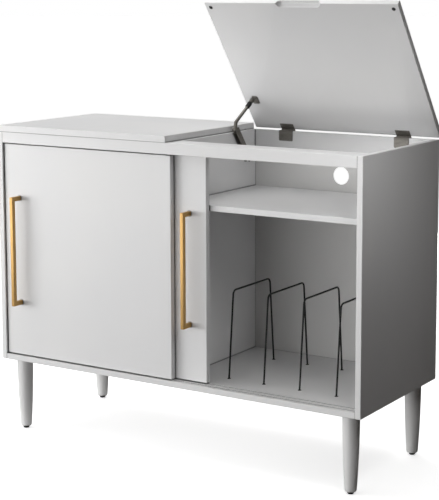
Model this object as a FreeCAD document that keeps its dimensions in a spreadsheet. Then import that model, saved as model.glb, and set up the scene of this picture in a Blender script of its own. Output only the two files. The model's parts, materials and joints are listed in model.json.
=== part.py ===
"""Record cabinet: a white cabinet on four turned legs, with two sliding doors and a lift-up lid.

Frame: millimetres, +X to the right, the front towards -Y, +Z up. The origin is on the floor, under the
middle of the box round the whole object. The lid stands open and the rear door is slid to the left.
Every size is one named cell of the sheet; each piece is placed by formulas on those cells.
"""
import FreeCAD, Part
import math
import os
from types import SimpleNamespace

import Sketcher

SIZES = [
    # carcass
    ("cab_width", 1168.0, "outside width over both side panels"),
    ("cab_depth", 453.0, "depth of the side panels"),
    ("cab_height", 663.0, "side panels, from their lower to their upper edge"),
    ("board", 16.0, "thickness of the carcass boards"),
    ("board_round", 0.8, "bevel of the board edges"),
    ("tenon_wide", 40.0, "loose tenons, along the joint"),
    ("tenon_thick", 6.0, "loose tenons, thickness"),
    ("tenon_half", 9.0, "loose tenons, depth in each board"),
    ("tenon_play", 0.2, "room round a loose tenon"),
    ("tenon_front", 60.0, "front tenons from a board's front edge"),
    ("tenon_back", 90.0, "back tenons from the cabinet's back"),
    ("rail_tenon_drop", 10.0, "tenons of the front rail below the carcass top"),
    ("fastener_sides", 8, "screws, pins and wires are drawn with this many flat sides"),
    ("overcut", 1.0, "how far a cut reaches past the face it opens"),
    ("hole_spare", 1.5, "empty end of a hole behind a screw, pin or wire"),
    ("snug_play", 0.1, "room round a piece that is pressed or let into wood"),
    ("inner_clear", 3.0, "room between the rear door and what stands behind it"),
    ("rail_depth", 66.0, "front rail, front to back"),
    ("rail_height", 31.0, "front rail, height"),
    ("back_rail_thick", 12.0, "thickness of the rail that carries the hinges"),
    ("back_rail_height", 80.0, "height of that rail"),
    ("sheet_thick", 3.2, "hardboard back"),
    ("sheet_inset", 5.0, "from the back edges to the back sheet"),
    ("sheet_bite", 4.5, "how far the sheet goes into its grooves"),
    ("groove_play", 0.4, "room in a groove round what sits in it"),
    ("cable_hole", 50.0, "diameter of the cable holes in the back"),
    ("cable_rise", 46.0, "cable hole centre above the turntable shelf"),
    ("record_bay", 467.0, "clear height for records under the turntable shelf"),
    ("loose_shelf_rise", 300.0, "adjustable shelf above the bottom board"),
    ("loose_shelf_play", 1.0, "gap at each end of the adjustable shelf"),
    ("loose_shelf_back", 13.0, "adjustable shelf to the back sheet"),
    ("loose_shelf_setback", 6.0, "adjustable shelf behind the partition's front edge"),
    ("pin_radius", 2.5, "shelf pin, part in the panel"),
    ("pin_depth", 9.0, "shelf pin, length in the panel"),
    ("pin_pitch", 64.0, "height between shelf pin holes"),
    ("pin_rows", 3, "rows of shelf pin holes"),
    ("pin_edge", 40.0, "pin holes from the front and back of the adjustable shelf"),
    ("cap_radius", 4.2, "cover cap on the partition, radius"),
    ("cap_height", 1.6, "cover cap, height"),
    ("cap_from_back", 48.0, "cover cap from the back edge"),
    ("cap_edge", 0.3, "cover cap from the partition's face"),
    # top and lid
    ("lid_board", 16.0, "thickness of the lid"),
    ("lid_gap", 2.0, "air under the closed lid"),
    ("top_gap", 6.0, "gap between the fixed top and the lid"),
    ("lid_open", 53.0, "degrees that the lid stands open"),
    ("cove_radius", 13.0, "finger pull in the lid's front edge"),
    ("cove_length", 133.0, "finger pull, over its round ends"),
    ("bumper_radius", 5.0, "rubber bumpers under the lid"),
    ("bumper_play", 0.1, "air under the bumpers when the lid is down"),
    ("bumper_inset", 15.5, "bumper centres from the lid's edges"),
    # hinges
    ("hinge_length", 44.0, "hinge, along the pin"),
    ("hinge_inset", 108.0, "hinge centres from the lid's side edges"),
    ("leaf_thick", 1.2, "hinge leaf"),
    ("leaf_drop", 28.0, "fixed leaf, down the front of the back rail"),
    ("leaf_reach", 20.0, "lid leaf, forward from the lid's back edge"),
    ("knuckle_radius", 3.0, "hinge knuckle, outside"),
    ("knuckle_play", 0.2, "air round the knuckles"),
    ("knuckles", 3, "knuckles in one hinge"),
    ("knuckle_bite", 0.9, "how far a leaf's neck goes into its knuckle"),
    ("hinge_pin_radius", 1.5, "hinge pin"),
    ("running_play", 0.06, "radial play of a pin that turns in its hole"),
    ("pin_rise", 1.0, "hinge pin above the carcass"),
    ("hinge_screw_radius", 1.5, "hinge screw shank"),
    ("hinge_screw_head", 2.7, "hinge screw head, radius"),
    ("hinge_head_thick", 0.7, "hinge screw head, sunk in the leaf"),
    ("hinge_screw_length", 9.0, "hinge screw in the wood"),
    ("hinge_screw_spread", 28.0, "between the two screws of a leaf"),
    ("hinge_hole_spare", 0.5, "empty end of a hinge screw's hole"),
    ("leaf_screw_drop", 17.4, "screws of the fixed leaf below the carcass top"),
    ("leaf_screw_reach", 12.0, "screws of the lid leaf from the lid's back edge"),
    ("screw_play", 0.05, "room round a fixed screw"),
    # sliding doors
    ("door_board", 16.0, "thickness of the doors"),
    ("door_recess", 7.0, "front door behind the carcass front"),
    ("door_gap", 4.0, "air between the two doors"),
    ("door_side_clear", 1.5, "closed door to the side panel"),
    ("door_lap", 8.5, "each door past the middle of the cabinet"),
    ("door_top_clear", 3.0, "door to the front rail"),
    ("door_foot_clear", 3.0, "door to the bottom board"),
    ("rear_handle_gap", 42.0, "from the front door's edge to the rear handle, with the rear door open"),
    ("handle_length", 314.0, "bar handle, height"),
    ("handle_reach", 38.0, "bar handle, out from the door"),
    ("handle_wide", 10.0, "bar section, across the door"),
    ("handle_thick", 12.0, "bar section, out from the door, and height of its feet"),
    ("handle_inset", 48.0, "handle from the door's outer edge"),
    ("handle_round", 0.8, "bevel of the handle's edges"),
    ("handle_screw_radius", 2.0, "handle screw shank"),
    ("handle_screw_bite", 10.0, "handle screw in the handle foot"),
    ("handle_screw_head", 4.0, "handle screw head, radius"),
    ("handle_head_depth", 2.4, "handle screw head, sunk in the door"),
    ("track_width", 9.0, "track liners, outside"),
    ("track_wall", 1.2, "track liners, wall"),
    ("track_end", 0.5, "air at each end of the track liners"),
    ("bottom_track", 5.0, "bottom liners, height"),
    ("upper_track", 9.0, "top liners, height"),
    ("guide_length", 30.0, "door guides, along the door"),
    ("guide_tongue", 5.0, "door guides, thickness of the tongue"),
    ("guide_bite", 9.0, "door guides, depth in the door"),
    ("guide_inset", 60.0, "door guides from the door's ends"),
    ("guide_air", 0.3, "tongue tip to the liner"),
    # lid stay
    ("stay_reach", 110.0, "bracket pivot in front of the hinge pin"),
    ("stay_drop", 6.0, "bracket pivot under the lid"),
    ("arm_run", 68.6, "elbow in front of the bracket pivot"),
    ("arm_rise", 79.2, "elbow below the bracket pivot"),
    ("knee_run", 5.6, "knee of the upper arm behind the elbow"),
    ("knee_rise", 24.0, "knee of the upper arm above the elbow"),
    ("arm_wide", 9.0, "upper arm, width of the bar"),
    ("arm_thick", 6.5, "upper arm, sideways"),
    ("arm_eye", 5.8, "upper arm, radius of its round ends"),
    ("arm_step", 12.0, "how far the upper arm slants sideways"),
    ("stay_plate", 2.0, "base plate and bracket"),
    ("stay_air", 0.5, "air between plate and lower arm"),
    ("channel_wide", 12.0, "lower arm, outside width"),
    ("channel_wall", 1.4, "lower arm, sheet"),
    ("channel_low", 9.0, "lower arm below its pivot"),
    ("channel_high", 10.0, "lower arm above its pivot"),
    ("channel_tail", 9.0, "lower arm past its base pivot"),
    ("channel_nose", 6.0, "lower arm past the elbow"),
    ("channel_slope", 9.0, "height of the slanted corner at its nose"),
    ("channel_bevel", 2.0, "lower arm, bevel of its long edges"),
    ("channel_mouth", 24.0, "slot for the upper arm, back from the elbow"),
    ("stay_pin_radius", 2.5, "stay pins"),
    ("elbow_play", 0.3, "play of the elbow pin in the upper arm"),
    ("stay_head_radius", 3.8, "heads of the stay pins"),
    ("stay_head_thick", 0.9, "heads of the stay pins, height"),
    ("sleeve_wide", 13.0, "plastic sleeve, across the arm"),
    ("sleeve_wall", 1.5, "plastic sleeve, wall on the arm's two sides"),
    ("sleeve_start", 7.0, "sleeve from the bracket pivot"),
    ("sleeve_end", 26.0, "far end of the sleeve"),
    ("bracket_wide", 18.0, "bracket flange, across the lid"),
    ("bracket_length", 26.0, "bracket flange, front to back"),
    ("bracket_ear", 5.4, "bracket ear, radius of its round end"),
    ("bracket_screw_side", 10.8, "bracket screws from the ear"),
    ("bracket_screw_spread", 15.6, "between the bracket screws"),
    ("base_high", 14.0, "base plate, height"),
    ("base_reach", 46.0, "base plate behind its stud"),
    ("base_bevel", 4.0, "base plate, its cut corners"),
    ("base_screw_near", 25.0, "first base screw behind the stud"),
    ("base_screw_far", 39.0, "second base screw behind the stud"),
    ("stay_screw_radius", 1.75, "stay screws"),
    ("stay_screw_bite", 11.0, "stay screws in the wood"),
    ("stay_screw_head", 3.4, "stay screw heads, radius"),
    ("stay_screw_top", 1.5, "stay screw heads, height"),
    # legs
    ("leg_length", 206.0, "wooden leg"),
    ("leg_top", 23.0, "leg radius at the top"),
    ("leg_foot", 16.0, "leg radius at the foot"),
    ("leg_bulge", 1.6, "how far the taper swells at half height"),
    ("leg_round", 6.0, "chamfer at the foot of the leg"),
    ("leg_side", 48.0, "leg axis from the side of the cabinet"),
    ("leg_front", 43.0, "leg axis from the front and back"),
    ("glide_height", 6.0, "glide under the leg"),
    ("glide_radius", 8.5, "glide, radius"),
    ("bolt_radius", 4.0, "hanger bolt"),
    ("bolt_in_leg", 32.0, "hanger bolt in the leg"),
    ("bolt_in_board", 9.0, "hanger bolt in the bottom board"),
    # record dividers
    ("divider_count", 4, "wire dividers"),
    ("divider_shift", 6.0, "row of dividers to the right of the bay's middle"),
    ("divider_pitch", 110.0, "between dividers"),
    ("divider_front", 106.0, "front foot from the cabinet's front"),
    ("divider_base", 240.0, "between the two feet"),
    ("divider_rise", 243.0, "top of the wire above the bottom board"),
    ("divider_lean", 5.4, "lean of the uprights, in degrees"),
    ("divider_bend", 14.0, "bend radius, on the wire's centre line"),
    ("wire_radius", 2.5, "divider wire"),
    ("wire_plug", 8.0, "wire in the bottom board"),
    ("wire_play", 1.0, "room round the wire in its hole"),
]

V = FreeCAD.Vector
doc = FreeCAD.newDocument("record_cabinet")
sheet = doc.addObject("Spreadsheet::Sheet", "Sizes")
for row, (alias, value, note) in enumerate(SIZES, start=1):
    sheet.set(f"A{row}", alias)
    sheet.set(f"B{row}", str(value))
    sheet.setAlias(f"B{row}", alias)
    sheet.set(f"C{row}", note)
doc.recompute()


class Size:
    """A number that also carries the sheet formula it comes from."""

    def __init__(self, value, text):
        self.value = float(value)
        self.text = text

    def __add__(self, other):
        other = as_size(other)
        return Size(self.value + other.value, f"({self.text} + {other.text})")

    def __sub__(self, other):
        other = as_size(other)
        return Size(self.value - other.value, f"({self.text} - {other.text})")

    def __mul__(self, other):
        other = as_size(other)
        return Size(self.value * other.value, f"({self.text} * {other.text})")

    def __truediv__(self, other):
        other = as_size(other)
        return Size(self.value / other.value, f"({self.text} / {other.text})")

    def __radd__(self, other):
        return as_size(other) + self

    def __rsub__(self, other):
        return as_size(other) - self

    def __rmul__(self, other):
        return as_size(other) * self

    def __rtruediv__(self, other):
        return as_size(other) / self

    def __neg__(self):
        return Size(-self.value, f"(0 - {self.text})")


def as_size(number):
    """A plain number as a Size; a Size stays what it is."""
    if isinstance(number, Size):
        return number
    return Size(number, f"({number})" if number < 0 else f"{number}")


def root(size):
    return Size(math.sqrt(size.value), f"sqrt({size.text})")


def sine(angle):
    return Size(math.sin(math.radians(angle.value)), f"sin({angle.text})")


def cosine(angle):
    return Size(math.cos(math.radians(angle.value)), f"cos({angle.text})")


s = SimpleNamespace(**{alias: Size(sheet.get(alias), f"Sizes.{alias}") for alias, _, _ in SIZES})


# ---------------------------------------------------------------- modelling helpers

TURNS = {
    "+z": FreeCAD.Rotation(),
    "-z": FreeCAD.Rotation(V(1, 0, 0), 180),
    "+x": FreeCAD.Rotation(V(0, 1, 0), 90),
    "-x": FreeCAD.Rotation(V(0, 1, 0), -90),
    "+y": FreeCAD.Rotation(V(1, 0, 0), -90),
    "-y": FreeCAD.Rotation(V(1, 0, 0), 90),
}
nodes = {}


def bind(thing, name, size):
    """Tie a property of an object to a sheet formula."""
    thing.setExpression(name, as_size(size).text)


def place(thing, x=0, y=0, z=0, way="+z"):
    """Put an object's own origin at a point, with its own +Z along the given way."""
    thing.Placement = FreeCAD.Placement(V(), TURNS[way])
    for axis, size in (("x", x), ("y", y), ("z", z)):
        bind(thing, f"Placement.Base.{axis}", size)
    return thing


def node(thing, name):
    """Give a finished piece its name; the name is also its file's name."""
    thing.Label = name
    nodes[name] = thing
    return thing


def block(x, y, z, wide, deep, high):
    """A box from its low corner."""
    box = doc.addObject("Part::Box", "Block")
    bind(box, "Length", wide)
    bind(box, "Width", deep)
    bind(box, "Height", high)
    return place(box, x, y, z)


def rod(x, y, z, radius, length, way="+z"):
    """A cylinder that starts at a point and runs the given way."""
    cylinder = doc.addObject("Part::Cylinder", "Rod")
    bind(cylinder, "Radius", radius)
    bind(cylinder, "Height", length)
    return place(cylinder, x, y, z, way)


def stick(x, y, z, radius, length, way="+z"):
    """A many-sided bar for screws, pins and their holes; it keeps the model light."""
    prism = doc.addObject("Part::Prism", "Stick")
    bind(prism, "Polygon", s.fastener_sides)
    bind(prism, "Circumradius", radius)
    bind(prism, "Height", length)
    return place(prism, x, y, z, way)


def join(pieces):
    """Fuse pieces that touch or overlap into one solid."""
    if len(pieces) == 1:
        return pieces[0]
    fused = doc.addObject("Part::MultiFuse", "Joined")
    fused.Shapes = pieces
    return fused


def group(pieces):
    """Hold several separate solids together as one node."""
    compound = doc.addObject("Part::Compound", "Group")
    compound.Links = pieces
    return compound


def carve(base, tools):
    """Cut tools out of a piece."""
    cut = doc.addObject("Part::Cut", "Carved")
    cut.Base = base
    cut.Tool = join(tools)
    return cut


def new_body(name):
    return doc.addObject("PartDesign::Body", name)


def new_sketch(body, role, lift=0):
    """A sketch on one of the body's own origin planes, lifted along the plane's normal."""
    sketch = body.newObject("Sketcher::SketchObject", "Sketch")
    flat = [feature for feature in body.Origin.OriginFeatures if feature.Role == role][0]
    sketch.AttachmentSupport = [(flat, "")]
    sketch.MapMode = "FlatFace"
    bind(sketch, "AttachmentOffset.Base.z", lift)
    return sketch


def pin_point(sketch, edge, end, x, y):
    """Fix one end of an edge at a point given by two sizes."""
    for kind, size in (("DistanceX", as_size(x)), ("DistanceY", as_size(y))):
        index = sketch.addConstraint(Sketcher.Constraint(kind, -1, 1, edge, end, size.value))
        sketch.setExpression(f"Constraints[{index}]", size.text)


def outline(sketch, points):
    """A closed outline of straight edges."""
    points = [(as_size(x), as_size(y)) for x, y in points]
    following = points[1:] + points[:1]
    for (x, y), (next_x, next_y) in zip(points, following):
        start = V(x.value, y.value, 0)
        stop = V(next_x.value, next_y.value, 0)
        sketch.addGeometry(Part.LineSegment(start, stop), False)
    for edge, (x, y) in enumerate(points):
        sketch.addConstraint(Sketcher.Constraint("Coincident", edge, 2, (edge + 1) % len(points), 1))
        pin_point(sketch, edge, 1, x, y)
    return sketch


def many_sides(x, y, radius):
    """The corners of the many-sided outline that stands in for a small circle."""
    turn = 360 / s.fastener_sides
    return [(x + radius * cosine(turn * side), y + radius * sine(turn * side))
            for side in range(int(s.fastener_sides.value))]


def pad(body, sketch, length):
    feature = body.newObject("PartDesign::Pad", "Pad")
    feature.Profile = sketch
    bind(feature, "Length", length)
    doc.recompute()
    return feature


def soften(body, size, wanted):
    """Bevel the edges of the body's tip that pass the test."""
    tip = body.Tip
    names = [f"Edge{index}" for index, edge in enumerate(tip.Shape.Edges, start=1) if wanted(edge)]
    feature = body.newObject("PartDesign::Chamfer", "Bevel")
    feature.Base = (tip, names)
    bind(feature, "Size", size)
    doc.recompute()
    return feature


def any_edge(edge):
    return True


def along(axis):
    """A test for straight edges that run along one axis."""
    def wanted(edge):
        if edge.Curve.TypeId != "Part::GeomLine":
            return False
        direction = edge.Curve.Direction
        return abs(getattr(direction, axis)) > 0.99
    return wanted


def board(name, wide, deep, high):
    """A board with every edge slightly bevelled, its low corner at its own origin."""
    body = new_body(name)
    sketch = new_sketch(body, "XY_Plane")
    outline(sketch, [(0, 0), (wide, 0), (wide, deep), (0, deep)])
    pad(body, sketch, high)
    soften(body, s.board_round, any_edge)
    return body


# ---------------------------------------------------------------- places

half = s.cab_width / 2
lid_under = s.lid_gap - s.pin_rise
hinge_back = s.knuckle_radius + s.knuckle_play
swing_back = s.lid_board + lid_under
front_reach = s.handle_reach - s.door_recess
rear_reach = (hinge_back + swing_back * sine(s.lid_open)
              - (hinge_back + s.board_round) * cosine(s.lid_open))
front = (front_reach - s.cab_depth - rear_reach) / 2
back = front + s.cab_depth
base = s.leg_length + s.glide_height
top = base + s.cab_height
deck = base + s.board
inner_left = s.board - half
inner_right = half - s.board
part_left = -s.board / 2
part_right = s.board / 2
rail_under = top - s.rail_height
setback = s.door_recess + s.door_board * 2 + s.door_gap + s.inner_clear
inner_front = front + setback
sheet_back = back - s.sheet_inset
sheet_front = sheet_back - s.sheet_thick
shelf_low = deck + s.record_bay
shelf_top = shelf_low + s.board
loose_low = deck + s.loose_shelf_rise
hinge_y = back + hinge_back
hinge_z = top + s.pin_rise


def groove(x, z, wide, high):
    """The slot that holds an edge of a back sheet."""
    return block(x, sheet_front - s.groove_play / 2, z, wide, s.sheet_thick + s.groove_play, high)


# ---------------------------------------------------------------- tenons inside the boards

tenons = []


def tenon(x, y, z, way):
    """A loose tenon across a joint, and the mortise that it needs in both boards.

    The point is the middle of the joint; way is the axis that crosses it, x or z.
    """
    long = s.tenon_half * 2
    thick = s.tenon_thick
    room = s.tenon_play
    if way == "x":
        size = (long, s.tenon_wide, thick)
    else:
        size = (thick, s.tenon_wide, long)
    low = (x - size[0] / 2, y - size[1] / 2, z - size[2] / 2)
    tenons.append(block(*low, *size))
    return block(*[corner - room for corner in low], *[length + room * 2 for length in size])


def hide_tenon(names, x, y, z, way):
    """Put one tenon in, and its mortise in each of the named boards."""
    mortise = tenon(x, y, z, way)
    for name in names:
        cuts[name].append(mortise)


# ---------------------------------------------------------------- carcass

def shelf_pin_holes(face_x, way):
    """Two columns of shelf pin holes in one inner face of the left bay."""
    holes = []
    for column in pin_columns:
        for step in range(int(s.pin_rows.value)):
            z = loose_low - s.pin_radius + s.pin_pitch * (step - 1)
            holes.append(stick(face_x, column, z, s.pin_radius + s.screw_play,
                               s.pin_depth + s.hinge_hole_spare, way))
    return holes


def divider_places():
    """X of each wire divider."""
    middle = (part_right + inner_right) / 2 + s.divider_shift
    first = middle - s.divider_pitch * (s.divider_count - 1) / 2
    return [first + s.divider_pitch * index for index in range(int(s.divider_count.value))]


loose_front = inner_front + s.loose_shelf_setback
loose_depth = sheet_front - s.loose_shelf_back - loose_front
pin_columns = [loose_front + s.pin_edge, loose_front + loose_depth - s.pin_edge]
leg_places = {
    "front_left": (s.leg_side - half, front + s.leg_front),
    "front_right": (half - s.leg_side, front + s.leg_front),
    "back_left": (s.leg_side - half, back - s.leg_front),
    "back_right": (half - s.leg_side, back - s.leg_front),
}
rows_low = [front + s.tenon_front, back - s.tenon_back]
rows_high = [inner_front + s.tenon_front, back - s.tenon_back]
deck_mid = base + s.board / 2
shelf_mid = shelf_low + s.board / 2
back_rail_low = top - s.back_rail_height
foot_front = front + s.divider_front
foot_back = foot_front + s.divider_base

cuts = {name: [] for name in ("left", "right", "bottom", "partition", "top", "shelf", "rail", "back_rail")}
for row_y in rows_low:
    hide_tenon(("left", "bottom"), inner_left, row_y, deck_mid, "x")
    hide_tenon(("right", "bottom"), inner_right, row_y, deck_mid, "x")
for row_y in rows_high:
    hide_tenon(("partition", "bottom"), 0, row_y, deck, "z")
    hide_tenon(("partition", "shelf"), part_right, row_y, shelf_mid, "x")
    hide_tenon(("right", "shelf"), inner_right, row_y, shelf_mid, "x")
    hide_tenon(("left", "top"), inner_left - s.board / 2, row_y, top, "z")
hide_tenon(("rail", "top"), (inner_left + part_left) / 2, front + s.rail_depth / 2, top, "z")
rail_row = front + s.rail_depth - s.tenon_wide / 2 - s.tenon_thick
for name, joint_x in (("left", inner_left), ("right", inner_right)):
    hide_tenon((name, "rail"), joint_x, rail_row, top - s.rail_tenon_drop, "x")

side_left = place(board("SideLeft", s.board, s.cab_depth, s.cab_height), -half, front, base)
side_right = place(board("SideRight", s.board, s.cab_depth, s.cab_height), inner_right, front, base)
cuts["left"].append(groove(inner_left - s.sheet_bite, deck - s.sheet_bite, s.sheet_bite + s.overcut,
                           s.cab_height))
cuts["right"].append(groove(inner_right - s.overcut, deck - s.sheet_bite, s.sheet_bite + s.overcut,
                            back_rail_low - deck + s.sheet_bite * 2))
cuts["left"] += shelf_pin_holes(inner_left, "-x")
node(carve(side_left, cuts["left"]), "side_panel_left")
node(carve(side_right, cuts["right"]), "side_panel_right")

bottom = place(board("Bottom", s.cab_width - s.board * 2, s.cab_depth, s.board), inner_left, front, base)
track_long = s.cab_width - s.board * 2
track_mids = [front + s.door_recess + s.door_board / 2,
              front + s.door_recess + s.door_board * 1.5 + s.door_gap]
track_slot = s.track_width + s.groove_play
for track_y in track_mids:
    cuts["bottom"].append(block(inner_left - s.overcut, track_y - track_slot / 2, deck - s.bottom_track,
                                track_long + s.overcut * 2, track_slot, s.bottom_track + s.overcut))
    cuts["rail"].append(block(inner_left - s.overcut, track_y - track_slot / 2, rail_under - s.overcut,
                              track_long + s.overcut * 2, track_slot, s.upper_track + s.overcut))
cuts["bottom"].append(groove(inner_left - s.overcut, deck - s.sheet_bite, track_long + s.overcut * 2,
                             s.sheet_bite + s.overcut))
for divider_x in divider_places():
    for foot_y in (foot_front, foot_back):
        cuts["bottom"].append(stick(divider_x, foot_y, deck + s.overcut, s.wire_radius + s.wire_play,
                                    s.overcut + s.wire_plug + s.wire_play, "-z"))
for leg_x, leg_y in leg_places.values():
    cuts["bottom"].append(stick(leg_x, leg_y, base - s.overcut, s.bolt_radius + s.screw_play,
                                s.overcut + s.bolt_in_board + s.hole_spare))
node(carve(bottom, cuts["bottom"]), "bottom_panel")

partition_body = new_body("Partition")
partition_depth = s.cab_depth - setback
partition_high = s.cab_height - s.board
notch_deep = s.rail_depth - setback
partition_sketch = new_sketch(partition_body, "YZ_Plane")
outline(partition_sketch, [(0, 0), (partition_depth, 0), (partition_depth, partition_high),
                           (notch_deep, partition_high), (notch_deep, partition_high - s.rail_height),
                           (0, partition_high - s.rail_height)])
pad(partition_body, partition_sketch, s.board)
soften(partition_body, s.board_round, any_edge)
place(partition_body, part_left, inner_front, deck)
cuts["partition"].append(groove(part_left - s.overcut, deck - s.overcut, s.sheet_bite + s.overcut,
                                partition_high + s.overcut * 2))
cuts["partition"].append(groove(part_right - s.sheet_bite, deck - s.overcut, s.sheet_bite + s.overcut,
                                back_rail_low - deck + s.sheet_bite + s.overcut))
cuts["partition"] += shelf_pin_holes(part_left, "+x")

rail = place(board("FrontRail", track_long, s.rail_depth, s.rail_height), inner_left, front, rail_under)
node(carve(rail, cuts["rail"]), "front_rail")

right_bay = inner_right - part_right
back_rail = place(board("BackRail", right_bay, s.back_rail_thick, s.back_rail_height),
                  part_right, back - s.back_rail_thick, back_rail_low)
cuts["back_rail"].append(groove(part_right - s.overcut, back_rail_low - s.overcut,
                                right_bay + s.overcut * 2, s.sheet_bite + s.overcut))

top_thick = s.lid_gap + s.lid_board
fixed_top = place(board("FixedTop", half - s.top_gap / 2, s.cab_depth, top_thick), -half, front, top)
cuts["top"].append(groove(inner_left - s.sheet_bite, top - s.overcut,
                          part_left - inner_left + s.sheet_bite * 2, s.sheet_bite + s.overcut))
node(carve(fixed_top, cuts["top"]), "fixed_top")

shelf_deep = sheet_front - inner_front - s.groove_play
shelf = place(board("TurntableShelf", right_bay, shelf_deep, s.board), part_right, inner_front, shelf_low)
node(carve(shelf, cuts["shelf"]), "turntable_shelf")

left_bay = part_left - inner_left
loose = place(board("LooseShelf", left_bay - s.loose_shelf_play * 2, loose_depth, s.board),
              inner_left + s.loose_shelf_play, loose_front, loose_low)
node(loose, "adjustable_shelf")

pins = []
for face_x, way, back_way in ((inner_left, "-x", "+x"), (part_left, "+x", "-x")):
    for column in pin_columns:
        pin_z = loose_low - s.pin_radius
        pins.append(join([stick(face_x, column, pin_z, s.pin_radius, s.pin_depth, way),
                          stick(face_x, column, pin_z, s.pin_radius, s.pin_depth, back_way)]))
node(group(pins), "shelf_pins")

sheet_slip = s.groove_play / 2
hole_z = shelf_top + s.cable_rise
for name, low_x, high_x, low_z, high_z in (
        ("left", inner_left, part_left, deck, top),
        ("right", part_right, inner_right, deck, back_rail_low)):
    grip = s.sheet_bite - sheet_slip
    sheet_board = block(low_x - grip, sheet_front, low_z - grip,
                        high_x - low_x + grip * 2, s.sheet_thick, high_z - low_z + grip * 2)
    hole = rod((low_x + high_x) / 2, sheet_front - s.overcut, hole_z, s.cable_hole / 2,
               s.sheet_thick + s.overcut * 2, "+y")
    node(carve(sheet_board, [hole]), f"back_sheet_{name}")

cap_x = part_right - s.cap_radius - s.cap_edge
cap_y = back - s.cap_from_back
node(stick(cap_x, cap_y, top, s.cap_radius, s.cap_height), "partition_cap")


# ---------------------------------------------------------------- track liners

for level, low_z, high, open_z in (
        ("bottom", deck - s.bottom_track, s.bottom_track, s.track_wall),
        ("top", rail_under, s.upper_track, -s.overcut)):
    liners = []
    for track_y in track_mids:
        start_y = track_y - s.track_width / 2
        liner = block(inner_left + s.track_end, start_y, low_z, track_long - s.track_end * 2,
                      s.track_width, high)
        channel = block(inner_left, start_y + s.track_wall, low_z + open_z, track_long,
                        s.track_width - s.track_wall * 2, high - s.track_wall + s.overcut)
        liners.append(carve(liner, [channel]))
    node(group(liners), f"{level}_track_liners")


# ---------------------------------------------------------------- sliding doors

door_wide = half - s.board - s.door_side_clear + s.door_lap
door_low = deck + s.door_foot_clear
door_high = rail_under - s.door_top_clear - door_low
door_mid_z = door_low + door_high / 2
foot_mid = s.handle_thick / 2


def bar_handle(name, low_x, door_y):
    """A U-shaped square bar handle that stands on a door's face, with its threaded foot holes."""
    body = new_body(f"Handle_{name}")
    sketch = new_sketch(body, "YZ_Plane")
    reach, tall, thick = s.handle_reach, s.handle_length, s.handle_thick
    outline(sketch, [(-reach, 0), (0, 0), (0, thick), (thick - reach, thick), (thick - reach, tall - thick),
                     (0, tall - thick), (0, tall), (-reach, tall)])
    pad(body, sketch, s.handle_wide)
    soften(body, s.handle_round, lambda edge: any(point.Point.y < -1 for point in edge.Vertexes))
    place(body, low_x, door_y, door_mid_z - tall / 2)
    bores = [stick(low_x + s.handle_wide / 2, door_y + s.overcut, z, s.handle_screw_radius + s.screw_play,
                   s.overcut + s.handle_screw_bite + s.hole_spare, "-y") for z in handle_feet()]
    return carve(body, bores)


def handle_feet():
    """Heights of a handle's two feet."""
    low = door_mid_z - s.handle_length / 2
    return [low + foot_mid, low + s.handle_length - foot_mid]


def sliding_door(name, low_x, door_y, handle_x):
    """One door with its handle, handle screws and plastic guides."""
    body = place(board(f"Door_{name}", door_wide, s.door_board, door_high), low_x, door_y, door_low)
    tools = []
    screws = []
    screw_x = handle_x + s.handle_wide / 2
    rear = door_y + s.door_board
    for z in handle_feet():
        shank = s.door_board - s.handle_head_depth + s.handle_screw_bite
        head_y = rear - s.handle_head_depth
        screws.append(join([stick(screw_x, head_y, z, s.handle_screw_radius, shank, "-y"),
                            stick(screw_x, head_y, z, s.handle_screw_head, s.handle_head_depth, "+y")]))
        tools.append(stick(screw_x, door_y - s.overcut, z, s.handle_screw_radius + s.screw_play,
                           s.door_board + s.overcut * 2, "+y"))
        tools.append(stick(screw_x, head_y, z, s.handle_screw_head + s.screw_play,
                           s.handle_head_depth + s.overcut, "+y"))
    middle = door_y + s.door_board / 2
    starts = [low_x + s.guide_inset, low_x + door_wide - s.guide_inset - s.guide_length]
    guides = []
    for edge_z, up, tongue in (
            (door_low, -1, s.door_foot_clear + s.bottom_track - s.track_wall - s.guide_air),
            (door_low + door_high, 1, s.door_top_clear + s.upper_track - s.track_wall - s.guide_air)):
        for start in starts:
            plug_z = edge_z if up < 0 else edge_z - s.guide_bite
            tongue_z = edge_z - tongue if up < 0 else edge_z
            guides.append(join([
                block(start, middle - s.track_width / 2, plug_z, s.guide_length, s.track_width, s.guide_bite),
                block(start, middle - s.guide_tongue / 2, tongue_z, s.guide_length, s.guide_tongue, tongue)]))
            play = s.snug_play
            cut_z = edge_z - s.overcut if up < 0 else edge_z - s.guide_bite - play
            tools.append(block(start - play, middle - s.track_width / 2 - play, cut_z,
                               s.guide_length + play * 2, s.track_width + play * 2,
                               s.guide_bite + play + s.overcut))
    node(group(guides), f"{name}_door_guides")
    node(carve(body, tools), f"{name}_door")
    node(bar_handle(name, handle_x, door_y), f"{name}_door_handle")
    node(group(screws), f"{name}_door_handle_screws")


front_door_x = inner_left + s.door_side_clear
rear_door_x = front_door_x + s.rear_handle_gap + s.handle_wide + s.handle_inset
front_door_y = front + s.door_recess
rear_door_y = front_door_y + s.door_board + s.door_gap
sliding_door("front", front_door_x, front_door_y, front_door_x + s.handle_inset)
sliding_door("rear", rear_door_x, rear_door_y,
             rear_door_x + door_wide - s.handle_inset - s.handle_wide)


# ---------------------------------------------------------------- lid and hinges

def on_lid(thing):
    """Swing a piece that is drawn for the closed lid, round the hinge pin, to the open lid."""
    thing.Placement = FreeCAD.Placement(V(), FreeCAD.Rotation(V(1, 0, 0), -s.lid_open.value))
    bind(thing, "Placement.Rotation.Angle", -s.lid_open)
    bind(thing, "Placement.Base.x", 0)
    bind(thing, "Placement.Base.y", hinge_y)
    bind(thing, "Placement.Base.z", hinge_z)
    return thing


def hinge_places():
    """X of each hinge's middle."""
    return {"left": s.top_gap / 2 + s.hinge_inset, "right": half - s.hinge_inset}


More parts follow.
